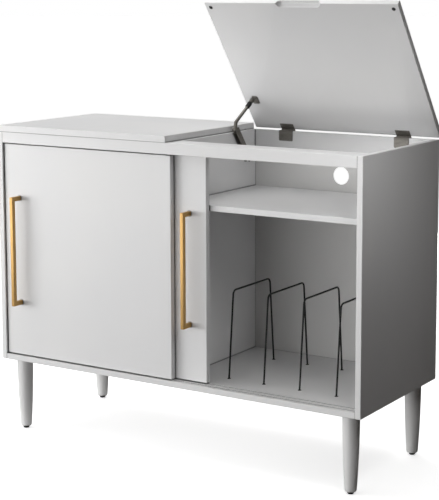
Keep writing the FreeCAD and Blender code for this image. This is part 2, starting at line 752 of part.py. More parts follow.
def knuckle_row(centre_x, first, leaf_z):
    """Every second knuckle of a hinge, with its neck to the leaf."""
    pitch = s.hinge_length / s.knuckles
    pieces = []
    for index in range(first, int(s.knuckles.value), 2):
        start = centre_x - s.hinge_length / 2 + pitch * index + s.knuckle_play / 2
        long = pitch - s.knuckle_play
        neck = hinge_back - s.knuckle_radius + s.knuckle_bite
        pieces.append(rod(start, 0, 0, s.knuckle_radius, long, "+x"))
        pieces.append(block(start, -hinge_back - s.knuckle_play, leaf_z, long,
                            neck + s.knuckle_play, s.leaf_thick))
    return pieces


def flat_head_screw(x, y, z, way, play=0, extra=0):
    """A screw with its head flush at a point, or the hole for it; extra is the hole's empty end."""
    return join([stick(x, y, z, s.hinge_screw_head + play, s.hinge_head_thick, way),
                 stick(x, y, z, s.hinge_screw_radius + play, s.leaf_thick + s.hinge_screw_length + extra, way)])


lid_wide = half - s.top_gap / 2
lid_left = s.top_gap / 2
lid_front = -hinge_back - s.cab_depth
lid_body = new_body("Lid")
lid_sketch = new_sketch(lid_body, "XY_Plane", lid_under)
outline(lid_sketch, [(lid_left, lid_front), (half, lid_front), (half, -hinge_back), (lid_left, -hinge_back)])
pad(lid_body, lid_sketch, s.lid_board)
soften(lid_body, s.board_round, any_edge)

cove_mid = lid_left + lid_wide / 2
cove_half = s.cove_length / 2 - s.cove_radius
cove = [rod(cove_mid - cove_half, lid_front, lid_under, s.cove_radius, cove_half * 2, "+x")]
for end in (-1, 1):
    ball = doc.addObject("Part::Sphere", "Ball")
    bind(ball, "Radius", s.cove_radius)
    cove.append(place(ball, cove_mid + cove_half * end, lid_front, lid_under))
lid_cuts = [join(cove)]

hinge_pins = []
hinge_screws_rail = []
hinge_screws_lid = []
leaf_level = -s.pin_rise
screw_row = leaf_level - s.leaf_screw_drop
lid_screw_row = -hinge_back - s.leaf_screw_reach
for name, hinge_x in hinge_places().items():
    start = hinge_x - s.hinge_length / 2
    rail_face = -hinge_back - s.back_rail_thick
    leaf_body = new_body(f"FixedLeaf_{name}")
    leaf_sketch = new_sketch(leaf_body, "YZ_Plane", start)
    outline(leaf_sketch, [(rail_face, leaf_level - s.leaf_drop), (rail_face, leaf_level),
                          (-hinge_back, leaf_level), (-hinge_back, leaf_level + s.leaf_thick),
                          (rail_face - s.leaf_thick, leaf_level + s.leaf_thick),
                          (rail_face - s.leaf_thick, leaf_level - s.leaf_drop)])
    pad(leaf_body, leaf_sketch, s.hinge_length)
    outer = rail_face.value - s.leaf_thick.value
    crest = leaf_level.value + s.leaf_thick.value
    soften(leaf_body, s.leaf_thick, lambda edge: along("x")(edge) and all(
        abs(point.Point.y - outer) < 0.01 and abs(point.Point.z - crest) < 0.01 for point in edge.Vertexes))
    bore = rod(start - s.overcut, 0, 0, s.hinge_pin_radius + s.running_play,
               s.hinge_length + s.overcut * 2, "+x")
    fixed_leaf = join([leaf_body] + knuckle_row(hinge_x, 0, leaf_level))
    holes = [bore]
    for side in (-0.5, 0.5):
        screw_x = hinge_x + s.hinge_screw_spread * side
        holes.append(flat_head_screw(screw_x, rail_face - s.leaf_thick, screw_row, "+y", s.screw_play))
        drill = flat_head_screw(screw_x, rail_face - s.leaf_thick, screw_row, "+y", s.screw_play,
                                s.hinge_hole_spare)
        place(drill, 0, hinge_y, hinge_z)
        cuts["back_rail"].append(drill)
        hinge_screws_rail.append(flat_head_screw(screw_x, rail_face - s.leaf_thick, screw_row, "+y"))
    fixed_leaf = carve(fixed_leaf, holes)
    node(place(fixed_leaf, 0, hinge_y, hinge_z), f"hinge_{name}_fixed_leaf")

    plate = block(start, -hinge_back - s.leaf_reach, lid_under, s.hinge_length, s.leaf_reach, s.leaf_thick)
    lid_leaf = join([plate] + knuckle_row(hinge_x, 1, lid_under))
    lid_bore = rod(start - s.overcut, 0, 0, s.hinge_pin_radius + s.running_play,
                   s.hinge_length + s.overcut * 2, "+x")
    lid_holes = [lid_bore]
    for side in (-0.5, 0.5):
        screw_x = hinge_x + s.hinge_screw_spread * side
        lid_holes.append(flat_head_screw(screw_x, lid_screw_row, lid_under, "+z", s.screw_play))
        lid_cuts.append(flat_head_screw(screw_x, lid_screw_row, lid_under, "+z", s.screw_play,
                                        s.hinge_hole_spare))
        hinge_screws_lid.append(flat_head_screw(screw_x, lid_screw_row, lid_under, "+z"))
    node(on_lid(carve(lid_leaf, lid_holes)), f"hinge_{name}_lid_leaf")
    play = s.snug_play
    lid_cuts.append(block(start - play, -hinge_back - s.leaf_reach - play, lid_under - s.overcut,
                          s.hinge_length + play * 2, s.leaf_reach + play + s.overcut,
                          s.leaf_thick + play + s.overcut))

    hinge_pins.append(rod(start, 0, 0, s.hinge_pin_radius, s.hinge_length, "+x"))

node(place(group(hinge_pins), 0, hinge_y, hinge_z), "hinge_pins")
node(place(group(hinge_screws_rail), 0, hinge_y, hinge_z), "hinge_rail_screws")
node(on_lid(group(hinge_screws_lid)), "hinge_lid_screws")
node(carve(back_rail, cuts["back_rail"]), "back_rail")

bumper_tall = s.lid_gap - s.bumper_play
bumpers = [rod(x, lid_front + s.bumper_inset, lid_under, s.bumper_radius, bumper_tall, "-z")
           for x in (lid_left + s.bumper_inset, half - s.bumper_inset)]
node(on_lid(group(bumpers)), "lid_bumpers")


# ---------------------------------------------------------------- folding lid stay
# The stay is a parallelogram: hinge pin, bracket pivot, elbow and base stud. The lower arm turns with
# the lid, and the upper arm keeps its slope.

bracket_y = -s.stay_reach
bracket_z = lid_under - s.stay_drop
bracket_out_y = bracket_y * cosine(s.lid_open) + bracket_z * sine(s.lid_open)
bracket_out_z = bracket_z * cosine(s.lid_open) - bracket_y * sine(s.lid_open)
pivot_y = hinge_y + bracket_out_y
pivot_z = hinge_z + bracket_out_z
elbow_y = pivot_y - s.arm_run
elbow_z = pivot_z - s.arm_rise
stud_y = hinge_y - s.arm_run
stud_z = hinge_z - s.arm_rise
channel_x = part_right + s.stay_plate + s.stay_air
channel_mid = channel_x + s.channel_wide / 2
arm_low_x = channel_mid - s.arm_thick / 2
arm_high_x = arm_low_x + s.arm_step


def headed_pin(x, y, z, length):
    """A pin along X that starts at a point and has a head at its far end."""
    return join([rod(x, y, z, s.stay_pin_radius, length, "+x"),
                 rod(x + length, y, z, s.stay_head_radius, s.stay_head_thick, "+x")])


def pan_head_screw(x, y, z, way, back_way):
    """A screw with a low head; the point is under its head."""
    return join([stick(x, y, z, s.stay_screw_radius, s.stay_screw_bite + s.stay_plate, way),
                 stick(x, y, z, s.stay_screw_head, s.stay_screw_top, back_way)])


def arm_outline(body, start, stop, width, lift, thick):
    """A straight bar between two points of the YZ plane, padded along X."""
    run = stop[0] - start[0]
    rise = stop[1] - start[1]
    length = root(run * run + rise * rise)
    side_y = rise / length * width / 2
    side_z = run / length * width / 2
    sketch = new_sketch(body, "YZ_Plane", lift)
    outline(sketch, [(start[0] + side_y, start[1] - side_z), (stop[0] + side_y, stop[1] - side_z),
                     (stop[0] - side_y, stop[1] + side_z), (start[0] - side_y, start[1] + side_z)])
    pad(body, sketch, thick)


def arm_end(body, centre, radius, lift, thick):
    """The many-sided eye or knee of an arm."""
    sketch = new_sketch(body, "YZ_Plane", lift)
    outline(sketch, many_sides(centre[0], centre[1], radius))
    pad(body, sketch, thick)


def slanted(name, margin):
    """The upper arm seen from the front, wider by a margin on its two sides."""
    body = new_body(name)
    sketch = new_sketch(body, "XZ_Plane", -s.arm_wide * 2)
    low = -margin
    high = s.arm_thick + margin
    outline(sketch, [(low, low_end), (high, low_end), (high, slant_low), (high + s.arm_step, slant_high),
                     (high + s.arm_step, high_end), (low + s.arm_step, high_end),
                     (low + s.arm_step, slant_high), (low, slant_low)])
    pad(body, sketch, s.arm_run + s.arm_wide * 4)
    return place(body, arm_low_x, pivot_y, pivot_z)


def common(pieces):
    """Keep only what all the pieces share."""
    shared = doc.addObject("Part::MultiCommon", "Shared")
    shared.Shapes = pieces
    return shared


# upper arm: a bar with a knee that slants sideways; its origin is the bracket pivot
elbow = (-s.arm_run, -s.arm_rise)
knee = (s.knee_run - s.arm_run, s.knee_rise - s.arm_rise)
tip = (as_size(0), as_size(0))
low_end = elbow[1] - s.arm_wide
high_end = tip[1] + s.arm_wide
slant_low = knee[1]
slant_high = tip[1] - s.arm_eye
span = s.arm_step + s.arm_thick
side_view = new_body("ArmSide")
arm_outline(side_view, elbow, knee, s.arm_wide, 0, span)
arm_outline(side_view, knee, tip, s.arm_wide, 0, span)
for centre, radius in ((elbow, s.arm_eye), (knee, s.arm_wide / 2), (tip, s.arm_eye)):
    arm_end(side_view, centre, radius, 0, span)
place(side_view, arm_low_x, pivot_y, pivot_z)
arm_holes = [rod(arm_low_x - s.overcut, elbow_y, elbow_z, s.stay_pin_radius + s.elbow_play,
                 s.arm_thick + s.overcut * 2, "+x"),
             rod(arm_high_x - s.overcut, pivot_y, pivot_z, s.stay_pin_radius + s.running_play,
                 s.arm_thick + s.overcut * 2, "+x")]
node(carve(common([side_view, slanted("ArmFront", as_size(0))]), arm_holes), "stay_upper_arm")

# plastic sleeve on the upper arm
run = knee[0] - tip[0]
rise = knee[1] - tip[1]
arm_long = root(run * run + rise * rise)
sleeve_from = (run / arm_long * s.sleeve_start, rise / arm_long * s.sleeve_start)
sleeve_to = (run / arm_long * s.sleeve_end, rise / arm_long * s.sleeve_end)
sleeve_body = new_body("Sleeve")
arm_outline(sleeve_body, sleeve_from, sleeve_to, s.sleeve_wide, -s.sleeve_wall, span + s.sleeve_wall * 2)
place(sleeve_body, arm_low_x, pivot_y, pivot_z)
bar_body = new_body("SleeveBar")
arm_outline(bar_body, knee, tip, s.arm_wide, 0, span)
place(bar_body, arm_low_x, pivot_y, pivot_z)
sleeve_bore = common([bar_body, slanted("SleeveBore", as_size(0))])
sleeve_skin = common([sleeve_body, slanted("SleeveFront", s.sleeve_wall)])
node(carve(sleeve_skin, [sleeve_bore]), "stay_sleeve")

# lower arm: a channel, open below, drawn for the closed lid with the base stud at its origin
channel_body = new_body("LowerArm")
channel_sketch = new_sketch(channel_body, "YZ_Plane")
nose_y = -s.stay_reach - s.channel_nose
outline(channel_sketch, [(nose_y, -s.channel_low), (s.channel_tail, -s.channel_low),
                         (s.channel_tail, s.channel_high), (nose_y + s.channel_nose, s.channel_high),
                         (nose_y, s.channel_high - s.channel_slope)])
pad(channel_body, channel_sketch, s.channel_wide)
soften(channel_body, s.channel_bevel, along("x"))
inside = block(s.channel_wall, nose_y - s.overcut, -s.channel_low - s.overcut,
               s.channel_wide - s.channel_wall * 2,
               s.stay_reach + s.channel_nose + s.channel_tail + s.overcut * 2,
               s.channel_low + s.channel_high - s.channel_wall + s.overcut)
mouth = block(s.channel_wall, nose_y - s.overcut, 0, s.channel_wide - s.channel_wall * 2,
              s.channel_nose + s.channel_mouth + s.overcut, s.channel_high + s.overcut)
base_hole = rod(-s.overcut, 0, 0, s.stay_pin_radius + s.running_play,
                s.channel_wide + s.overcut * 2, "+x")
lower_arm = join([carve(channel_body, [join([inside, mouth]), base_hole]),
                  headed_pin(0, bracket_y, bracket_z, s.channel_wide)])


def on_stud(thing):
    """Swing a piece that is drawn for the closed lid to the open lid, round the base stud."""
    thing.Placement = FreeCAD.Placement(V(), FreeCAD.Rotation(V(1, 0, 0), -s.lid_open.value))
    bind(thing, "Placement.Rotation.Angle", -s.lid_open)
    bind(thing, "Placement.Base.x", channel_x)
    bind(thing, "Placement.Base.y", stud_y)
    bind(thing, "Placement.Base.z", stud_z)
    return thing


node(on_stud(lower_arm), "stay_lower_arm")

# base plate on the partition, its stud and screws
plate_body = new_body("BasePlate")
plate_sketch = new_sketch(plate_body, "YZ_Plane")
wing = s.base_high / 2
outline(plate_sketch, [(-wing, -wing), (s.base_reach, -wing), (s.base_reach, wing), (-wing, wing)])
pad(plate_body, plate_sketch, s.stay_plate)
soften(plate_body, s.base_bevel, along("x"))
place(plate_body, part_right, stud_y, stud_z)
plate_holes = []
base_screws = []
for behind in (s.base_screw_near, s.base_screw_far):
    screw_y = stud_y + behind
    plate_holes.append(stick(part_right - s.overcut, screw_y, stud_z, s.stay_screw_radius + s.screw_play,
                             s.stay_plate + s.overcut * 2, "+x"))
    cuts["partition"].append(stick(part_right + s.overcut, screw_y, stud_z,
                                   s.stay_screw_radius + s.screw_play,
                                   s.overcut + s.stay_screw_bite + s.snug_play, "-x"))
    base_screws.append(pan_head_screw(part_right + s.stay_plate, screw_y, stud_z, "-x", "+x"))
stud_long = s.stay_plate + s.stay_air + s.channel_wide + s.knuckle_play
stud = headed_pin(part_right, stud_y, stud_z, stud_long)
node(join([carve(plate_body, plate_holes), stud]), "stay_base_plate")
node(group(base_screws), "stay_base_screws")
node(carve(partition_body, cuts["partition"]), "centre_partition")

# bracket under the lid, its pin and screws, drawn for the closed lid
ear_x = arm_high_x + s.arm_thick + s.knuckle_play
flange = block(ear_x, bracket_y - s.bracket_length / 2, lid_under - s.stay_plate, s.bracket_wide,
               s.bracket_length, s.stay_plate)
ear = block(ear_x, bracket_y - s.bracket_ear, bracket_z, s.stay_plate, s.bracket_ear * 2, s.stay_drop)
ear_end = stick(ear_x, bracket_y, bracket_z, s.bracket_ear, s.stay_plate, "+x")
bracket_holes = []
bracket_screws = []
for side in (-0.5, 0.5):
    screw_x = ear_x + s.bracket_screw_side
    screw_y = bracket_y + s.bracket_screw_spread * side
    bracket_holes.append(stick(screw_x, screw_y, lid_under - s.stay_plate - s.overcut,
                               s.stay_screw_radius + s.screw_play, s.stay_plate + s.overcut * 2))
    lid_cuts.append(stick(screw_x, screw_y, lid_under - s.overcut, s.stay_screw_radius + s.screw_play,
                          s.overcut + s.stay_screw_bite + s.snug_play))
    bracket_screws.append(pan_head_screw(screw_x, screw_y, lid_under - s.stay_plate, "+z", "-z"))
pin_long = s.arm_thick + s.knuckle_play * 2
bracket_pin = join([rod(ear_x, bracket_y, bracket_z, s.stay_pin_radius, pin_long, "-x"),
                    rod(ear_x - pin_long, bracket_y, bracket_z, s.stay_head_radius, s.stay_head_thick, "-x")])
node(on_lid(join([carve(join([flange, ear, ear_end]), bracket_holes), bracket_pin])), "stay_bracket")
node(on_lid(group(bracket_screws)), "stay_bracket_screws")

node(on_lid(carve(lid_body, lid_cuts)), "lid_panel")


# ---------------------------------------------------------------- legs

hanger_bolts = []
glides = []
leg_pairs = {"front": [], "back": []}
leg_middle = (s.leg_top + s.leg_foot) / 2 + s.leg_bulge
for name, (leg_x, leg_y) in leg_places.items():
    leg_body = new_body(f"Leg_{name}")
    leg_sketch = new_sketch(leg_body, "XZ_Plane")
    outline(leg_sketch, [(0, 0), (s.leg_foot - s.leg_round, 0), (s.leg_foot, s.leg_round),
                         (leg_middle, s.leg_length / 2), (s.leg_top, s.leg_length), (0, s.leg_length)])
    turned = leg_body.newObject("PartDesign::Revolution", "Turned")
    turned.Profile = leg_sketch
    turned.ReferenceAxis = (leg_sketch, ["V_Axis"])
    turned.Angle = 360
    doc.recompute()
    place(leg_body, leg_x, leg_y, s.glide_height)
    bolt_hole = stick(leg_x, leg_y, base + s.overcut, s.bolt_radius + s.screw_play,
                      s.overcut + s.bolt_in_leg + s.hole_spare, "-z")
    leg_pairs[name.split("_")[0]].append(carve(leg_body, [bolt_hole]))
    hanger_bolts.append(stick(leg_x, leg_y, base - s.bolt_in_leg, s.bolt_radius,
                              s.bolt_in_leg + s.bolt_in_board))
    glides.append(rod(leg_x, leg_y, 0, s.glide_radius, s.glide_height))
for name, pair in leg_pairs.items():
    node(group(pair), f"legs_{name}")
node(group(hanger_bolts), "leg_hanger_bolts")
node(group(glides), "leg_glides")


# ---------------------------------------------------------------- record dividers

def wire_divider(index, x):
    """An upside-down U of bent wire, its uprights leaning towards each other."""
    body = new_body(f"Divider_{index}")
    path = new_sketch(body, "YZ_Plane")
    lean = math.radians(s.divider_lean.value)
    low = -s.wire_plug.value
    high = s.divider_rise.value - s.wire_radius.value
    bend = s.divider_bend.value
    deep = s.divider_base.value
    shift = (high - low) * math.tan(lean)
    turn = bend * math.tan((math.pi / 2 - lean) / 2)
    up = V(math.sin(lean), math.cos(lean), 0)
    corners = [V(shift, high, 0), V(deep - shift, high, 0)]
    starts = [V(0, low, 0), V(deep, low, 0)]
    leg_ends = [corners[0] - up * turn, corners[1] - V(-up.x, up.y, 0) * turn]
    bar_ends = [corners[0] + V(turn, 0, 0), corners[1] - V(turn, 0, 0)]
    centres = [V(bar_ends[0].x, high - bend, 0), V(bar_ends[1].x, high - bend, 0)]
    path.addGeometry(Part.LineSegment(starts[0], leg_ends[0]), False)
    path.addGeometry(Part.ArcOfCircle(Part.Circle(centres[0], V(0, 0, 1), bend),
                                      math.pi / 2, math.pi - lean), False)
    path.addGeometry(Part.LineSegment(bar_ends[0], bar_ends[1]), False)
    path.addGeometry(Part.ArcOfCircle(Part.Circle(centres[1], V(0, 0, 1), bend), lean, math.pi / 2), False)
    path.addGeometry(Part.LineSegment(leg_ends[1], starts[1]), False)
    for one, one_end, other, other_end in ((0, 2, 1, 2), (1, 1, 2, 1), (2, 2, 3, 2), (3, 1, 4, 1)):
        path.addConstraint(Sketcher.Constraint("Tangent", one, one_end, other, other_end))
    path.addConstraint(Sketcher.Constraint("Horizontal", 2))
    pin_point(path, 0, 1, 0, -s.wire_plug)
    pin_point(path, 4, 2, s.divider_base, -s.wire_plug)
    tied = [("DistanceY", (-1, 1, 2, 1), s.divider_rise - s.wire_radius),
            ("Radius", (1,), s.divider_bend), ("Radius", (3,), s.divider_bend),
            ("Angle", (0,), 90 - s.divider_lean)]
    for kind, where, size in tied:
        value = math.radians(size.value) if kind == "Angle" else size.value
        number = path.addConstraint(Sketcher.Constraint(kind, *where, value))
        text = f"{size.text} * 1 deg" if kind == "Angle" else size.text
        path.setExpression(f"Constraints[{number}]", text)
    path.addConstraint(Sketcher.Constraint("Equal", 0, 4))
    section = new_sketch(body, "XY_Plane", -s.wire_plug)
    outline(section, many_sides(0, 0, s.wire_radius))
    pipe = body.newObject("PartDesign::AdditivePipe", "Wire")
    pipe.Profile = section
    pipe.Spine = path
    doc.recompute()
    return place(body, x, foot_front, deck)


for index, divider_x in enumerate(divider_places(), start=1):
    node(wire_divider(index, divider_x), f"record_divider_{index}")

node(group(tenons), "loose_tenons")


# ---------------------------------------------------------------- checks and files

doc.recompute()
failed = [f"{thing.Name} ({thing.Label})" for thing in doc.Objects
          if "Invalid" in thing.State or "Error" in thing.State]
if failed:
    raise RuntimeError("failed objects: " + ", ".join(failed))
for name, thing in nodes.items():
    shape = thing.Shape
    if shape.isNull() or not shape.isValid() or not shape.Solids:
        raise RuntimeError(f"{name}: no valid solid")
if len(nodes) > 60:
    raise RuntimeError(f"{len(nodes)} nodes, and the library takes 60")

os.makedirs("parts", exist_ok=True)
for name, thing in nodes.items():
    thing.Shape.exportStep(f"parts/{name}.step")
print(f"{len(nodes)} nodes written")
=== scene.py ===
# %% [markdown]
# # A record cabinet with sliding doors and a lift-up lid
#
# The real cabinet is a white lacquered case on four turned legs. Two flat doors with brass bar handles slide
# in front of two bays. The right half of the top is a lid on two dark hinges, held open by a folding stay.
#
# This lesson dresses a finished CAD model. The CAD pieces are loaded first and stay where they are. Flat
# boards are already right, so they only get a finish. Pieces that are round, bent or small are made again as
# smooth meshes, in the same places, because a CAD export shows them with flat facets.

import json
import math

import bmesh
import bpy
from mathutils import Matrix, Vector


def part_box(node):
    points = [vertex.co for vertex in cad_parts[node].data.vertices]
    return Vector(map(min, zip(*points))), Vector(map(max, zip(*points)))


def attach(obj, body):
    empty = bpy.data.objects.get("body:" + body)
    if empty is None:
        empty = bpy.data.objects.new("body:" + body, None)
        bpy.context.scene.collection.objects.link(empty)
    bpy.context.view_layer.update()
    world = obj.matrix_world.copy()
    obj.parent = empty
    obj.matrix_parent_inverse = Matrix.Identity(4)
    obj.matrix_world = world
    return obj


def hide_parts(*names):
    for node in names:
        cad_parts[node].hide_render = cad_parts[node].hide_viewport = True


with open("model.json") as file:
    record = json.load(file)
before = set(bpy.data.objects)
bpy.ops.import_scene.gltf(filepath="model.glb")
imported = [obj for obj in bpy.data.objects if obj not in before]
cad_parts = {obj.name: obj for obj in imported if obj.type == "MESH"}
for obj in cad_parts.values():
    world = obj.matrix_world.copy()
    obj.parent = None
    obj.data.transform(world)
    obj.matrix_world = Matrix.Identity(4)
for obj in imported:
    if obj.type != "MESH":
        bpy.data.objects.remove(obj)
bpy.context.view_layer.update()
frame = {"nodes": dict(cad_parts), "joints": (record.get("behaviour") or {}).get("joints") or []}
nodes = frame["nodes"]

# %% [markdown]
# ## Camera
#
# The camera stands to the right of the cabinet, a little above its top, and looks down at it by a few
# degrees. A small lens shift frames the legs, so that the camera doesn't have to tilt further. In Blender a
# camera, lamp or mesh is only data until an object carries it into the scene, which `placed` does.

# %% Camera
CAMERA_PLACE = Vector((2.1727, -3.3358, 1.2855))
CAMERA_TURN = math.radians(31.516)
CAMERA_DIP = math.radians(7.453)
FOCAL_SHARE = 1442.4 / 500  # the focal length, for a frame whose longer side is 1
LENS_SHIFT = (-0.061, -0.15)


def placed(name, data):
    """An object that carries some data into the scene."""
    thing = bpy.data.objects.new(name, data)
    bpy.context.scene.collection.objects.link(thing)
    return thing


camera_data = bpy.data.cameras.new("camera")
camera_data.lens = FOCAL_SHARE * camera_data.sensor_width
camera_data.shift_x, camera_data.shift_y = LENS_SHIFT
camera = placed("camera", camera_data)
aim = Vector((-math.sin(CAMERA_TURN) * math.cos(CAMERA_DIP),
              math.cos(CAMERA_TURN) * math.cos(CAMERA_DIP), -math.sin(CAMERA_DIP)))
camera.rotation_euler = aim.to_track_quat("-Z", "Y").to_euler()
camera.location = CAMERA_PLACE
bpy.context.scene.camera = camera
bpy.context.scene.view_settings.view_transform = "Standard"
print("lens:", round(camera_data.lens, 1), "mm")

# %% [markdown]
# ## Finishes
#
# A finish is a small network of shader nodes. Writing its maths as Python is easier to read than a drawing
# of boxes, so the class `Value` wraps an output socket: adding or multiplying two of them adds the Math node
# that does it. Every other node comes from one method, `node`. FINISHES keeps each finish by its name.

# %% Shader maths
FINISHES = {}
MIX_FACTOR, MIX_LOW, MIX_HIGH, MIX_RESULT = 0, 6, 7, 2  # the Mix node's sockets for colours, by number


class Value:
    """One output of a shader. Python's operators on it add Math nodes."""

    def __init__(self, finish, socket):
        self.finish = finish
        self.socket = socket

    def maths(self, operation, other):
        return self.finish.node("ShaderNodeMath", {"operation": operation}, {0: self, 1: other})

    def __add__(self, other):
        return self.maths("ADD", other)

    def __mul__(self, other):
        return self.maths("MULTIPLY", other)

    __radd__ = __add__
    __rmul__ = __mul__

    def ramp(self, low=0.3, high=0.7):
        """0 below low, 1 above high, smooth between them. Most of a noise lies between 0.3 and 0.7."""
        return self.finish.node("ShaderNodeMapRange", {"interpolation_type": "SMOOTHSTEP"},
                                {"Value": self, "From Min": low, "From Max": high})


def plug(tree, socket, value):
    """Link an output to a socket, or give the socket a plain value."""
    source = value.socket if isinstance(value, Value) else value
    if isinstance(source, bpy.types.NodeSocket):
        tree.links.new(source, socket)
    else:
        socket.default_value = source


def add_node(tree, kind, settings=None, inputs=None):
    """A new node. Its settings come first, because they can change its sockets."""
    made = tree.nodes.new(kind)
    for name, value in (settings or {}).items():
        setattr(made, name, value)
    for name, value in (inputs or {}).items():
        plug(tree, made.inputs[name], value)
    return made


class Finish:
    """A material or a world, under construction."""

    def __init__(self, name, owner=None, shader="ShaderNodeBsdfPrincipled",
                 output="ShaderNodeOutputMaterial"):
        self.owner = owner or bpy.data.materials.new(name)
        self.owner.use_nodes = True
        self.tree = self.owner.node_tree
        self.tree.nodes.clear()
        self.shader = self.tree.nodes.new(shader)
        add_node(self.tree, output, None, {"Surface": self.shader.outputs[0]})
        FINISHES[name] = self.owner

    def node(self, kind, settings=None, inputs=None, output=0):
        return Value(self, add_node(self.tree, kind, settings, inputs).outputs[output])

    def set(self, **values):
        """Fill the shader's own sockets: Base_Color stands for Base Color."""
        for name, value in values.items():
            plug(self.tree, self.shader.inputs[name.replace("_", " ")], value)

    def noise(self, scale, detail, roughness=0.5, stretch=(1, 1, 1)):
        """A noise on the piece's own coordinates, squeezed along some of them."""
        where = self.node("ShaderNodeTexCoord", output="Object")
        squeezed = self.node("ShaderNodeMapping", None, {"Vector": where, "Scale": stretch})
        return self.node("ShaderNodeTexNoise", None,
                         {"Vector": squeezed, "Scale": scale, "Detail": detail, "Roughness": roughness})

    def blend(self, factor, low, high):
        """A colour between two colours."""
        return self.node("ShaderNodeMix", {"data_type": "RGBA"},
                         {MIX_FACTOR: factor, MIX_LOW: low, MIX_HIGH: high}, MIX_RESULT)

    def bump(self, height, distance):
        """Relief on the surface, a distance in metres high."""
        self.set(Normal=self.node("ShaderNodeBump", None, {"Height": height, "Distance": distance}))


def colour(red, green, blue):
    return (red, green, blue, 1.0)


def grey(level):
    return colour(level, level, level)


print("shader maths ready")

# %% [markdown]
# ## White lacquer
#
# Sprayed lacquer on fibreboard is satin, not flat: it dries with a faint orange peel, and its gloss drifts a
# little from place to place. Two noises do both. The large one moves tone and roughness by a few percent,
# and the fine one is a bump of a few hundredths of a millimetre. Shade is also painted into the colour: an
# ambient occlusion node turns a paint grey within a few millimetres of a seam or inner corner, where little
# light reaches.

# %% White lacquer
PEEL_SCALE, DRIFT_SCALE = 420.0, 2.6
SEAM_REACH, SEAM_RAYS = 0.005, 8
SEAM_SHUT, SEAM_OPEN = 0.55, 1.0  # the share of unoccluded air where the painted shade is full, and where it is gone
# The grey of the painted shade in seams.
SEAM_SHADE_TONE = grey(0.20)


def shaded_in_seams(finish, paint):
    """The paint's colour with painted shade: grey in joints and corners, where they shut out light."""
    unoccluded = finish.node("ShaderNodeAmbientOcclusion", {"samples": SEAM_RAYS},
                           {"Distance": SEAM_REACH}, "AO")
    return finish.blend(unoccluded.ramp(SEAM_SHUT, SEAM_OPEN), SEAM_SHADE_TONE, paint)


lacquer = Finish("white_lacquer")
drift = lacquer.noise(DRIFT_SCALE, 3.0)
peel = lacquer.noise(PEEL_SCALE, 1.0)
sprayed = lacquer.blend(drift.ramp(), colour(0.715, 0.715, 0.720), colour(0.745, 0.742, 0.738))
# The base colour carries painted shade in the seams.
lacquer.set(Base_Color=shaded_in_seams(lacquer, sprayed), Roughness=drift * 0.10 + 0.35 + peel * 0.02,
            Specular_IOR_Level=0.5)
lacquer.bump(peel, 0.00003)
print("white lacquer ready")

# %% [markdown]
# ## Painted legs
#
# The legs carry the same white on turned wood. The lathe leaves rings and the grain runs along the leg, so
# the paint is not quite smooth: fine lines along the leg and very faint rings across it.

# %% Painted legs
leg_paint = Finish("painted_leg")
grain = leg_paint.noise(1.0, 3.0, stretch=(260, 260, 9))
rings = leg_paint.noise(1.0, 1.0, stretch=(2, 2, 520))
leg_paint.set(Base_Color=leg_paint.blend(grain.ramp(0.25, 0.75), grey(0.73), colour(0.765, 0.763, 0.755)),
              Roughness=grain * 0.12 + 0.36, Specular_IOR_Level=0.5)
leg_paint.bump(grain + rings * 0.6, 0.00005)

# %% [markdown]
# ## Hardboard back
#
# The thin back is hardboard with a white printed face. Its surface is duller than the lacquer and shows the
# pressed fibres as short soft streaks.

# %% Hardboard back
hardboard = Finish("white_hardboard")
fibre = hardboard.noise(1.0, 4.0, 0.6, stretch=(900, 900, 260))
patch = hardboard.noise(9.0, 3.0)
hardboard.set(Base_Color=hardboard.blend(fibre * 0.6 + patch * 0.4, colour(0.64, 0.635, 0.625),
                                         colour(0.71, 0.705, 0.695)),
              Roughness=0.52 + 0.2 * fibre)
hardboard.bump(fibre, 0.00012)

# %% [markdown]
# ## Brushed brass
#
# The handles are brushed along their length. A noise that is very narrow across the bar and long along it
# gives each scratch its own colour and gloss, and the bump turns the highlights into thin lines.

# %% Brushed brass
brass = Finish("brushed_brass")
scratch = brass.noise(1.0, 3.0, 0.65, stretch=(2600, 2600, 22))
tarnish = brass.noise(1.0, 3.0, stretch=(30, 30, 12))
brass.set(Base_Color=brass.blend(scratch * 0.55 + tarnish * 0.45, colour(0.47, 0.285, 0.095),
                                 colour(0.62, 0.405, 0.165)),
          Metallic=0.85, Roughness=0.50 + 0.14 * scratch)
brass.bump(scratch, 0.00003)

# %% [markdown]
# ## Dark steel
#
# Hinges and stay are steel with a burnished gunmetal plating. Tumbling in a drum rubs it unevenly, so warm
# and cold greys change within a millimetre or two, and its gloss is soft.

# %% Dark steel
gunmetal = Finish("dark_steel")
rub = gunmetal.noise(600.0, 4.0, 0.6)
speck = gunmetal.noise(2400.0, 2.0)
gunmetal.set(Base_Color=gunmetal.blend(rub.ramp(), colour(0.150, 0.138, 0.120), colour(0.270, 0.258, 0.235)),
             Metallic=0.65, Roughness=0.36 + 0.14 * speck)
gunmetal.bump(rub * 0.4 + speck * 0.6, 0.00004)

# %% [markdown]
# ## Zinc, wire, plastics, rubber and beech
#
# The other finishes cover small areas. Each has its own grain size: zinc has cloudy crystals, powder-coated
# wire a pebbled skin, moulded plastic a fine spark texture, rubber a dull bloom, and beech short flecks.


# %% Small finishes
def pebbled(name, low, high, scale, gloss, depth, metal=0.0, shine=0.5, seam_shade=False):
    """A finish with one cell size for its colour, gloss and bump."""
    skin = Finish(name)
    pebbles = skin.noise(scale, 3.0, 0.6)
    tint = skin.blend(pebbles.ramp(), low, high)
    # On request, shade is painted into the colour in joints and corners.
    skin.set(Base_Color=shaded_in_seams(skin, tint) if seam_shade else tint, Metallic=metal,
             Specular_IOR_Level=shine, Roughness=pebbles * 0.16 + (gloss - 0.08))
    skin.bump(pebbles, depth)


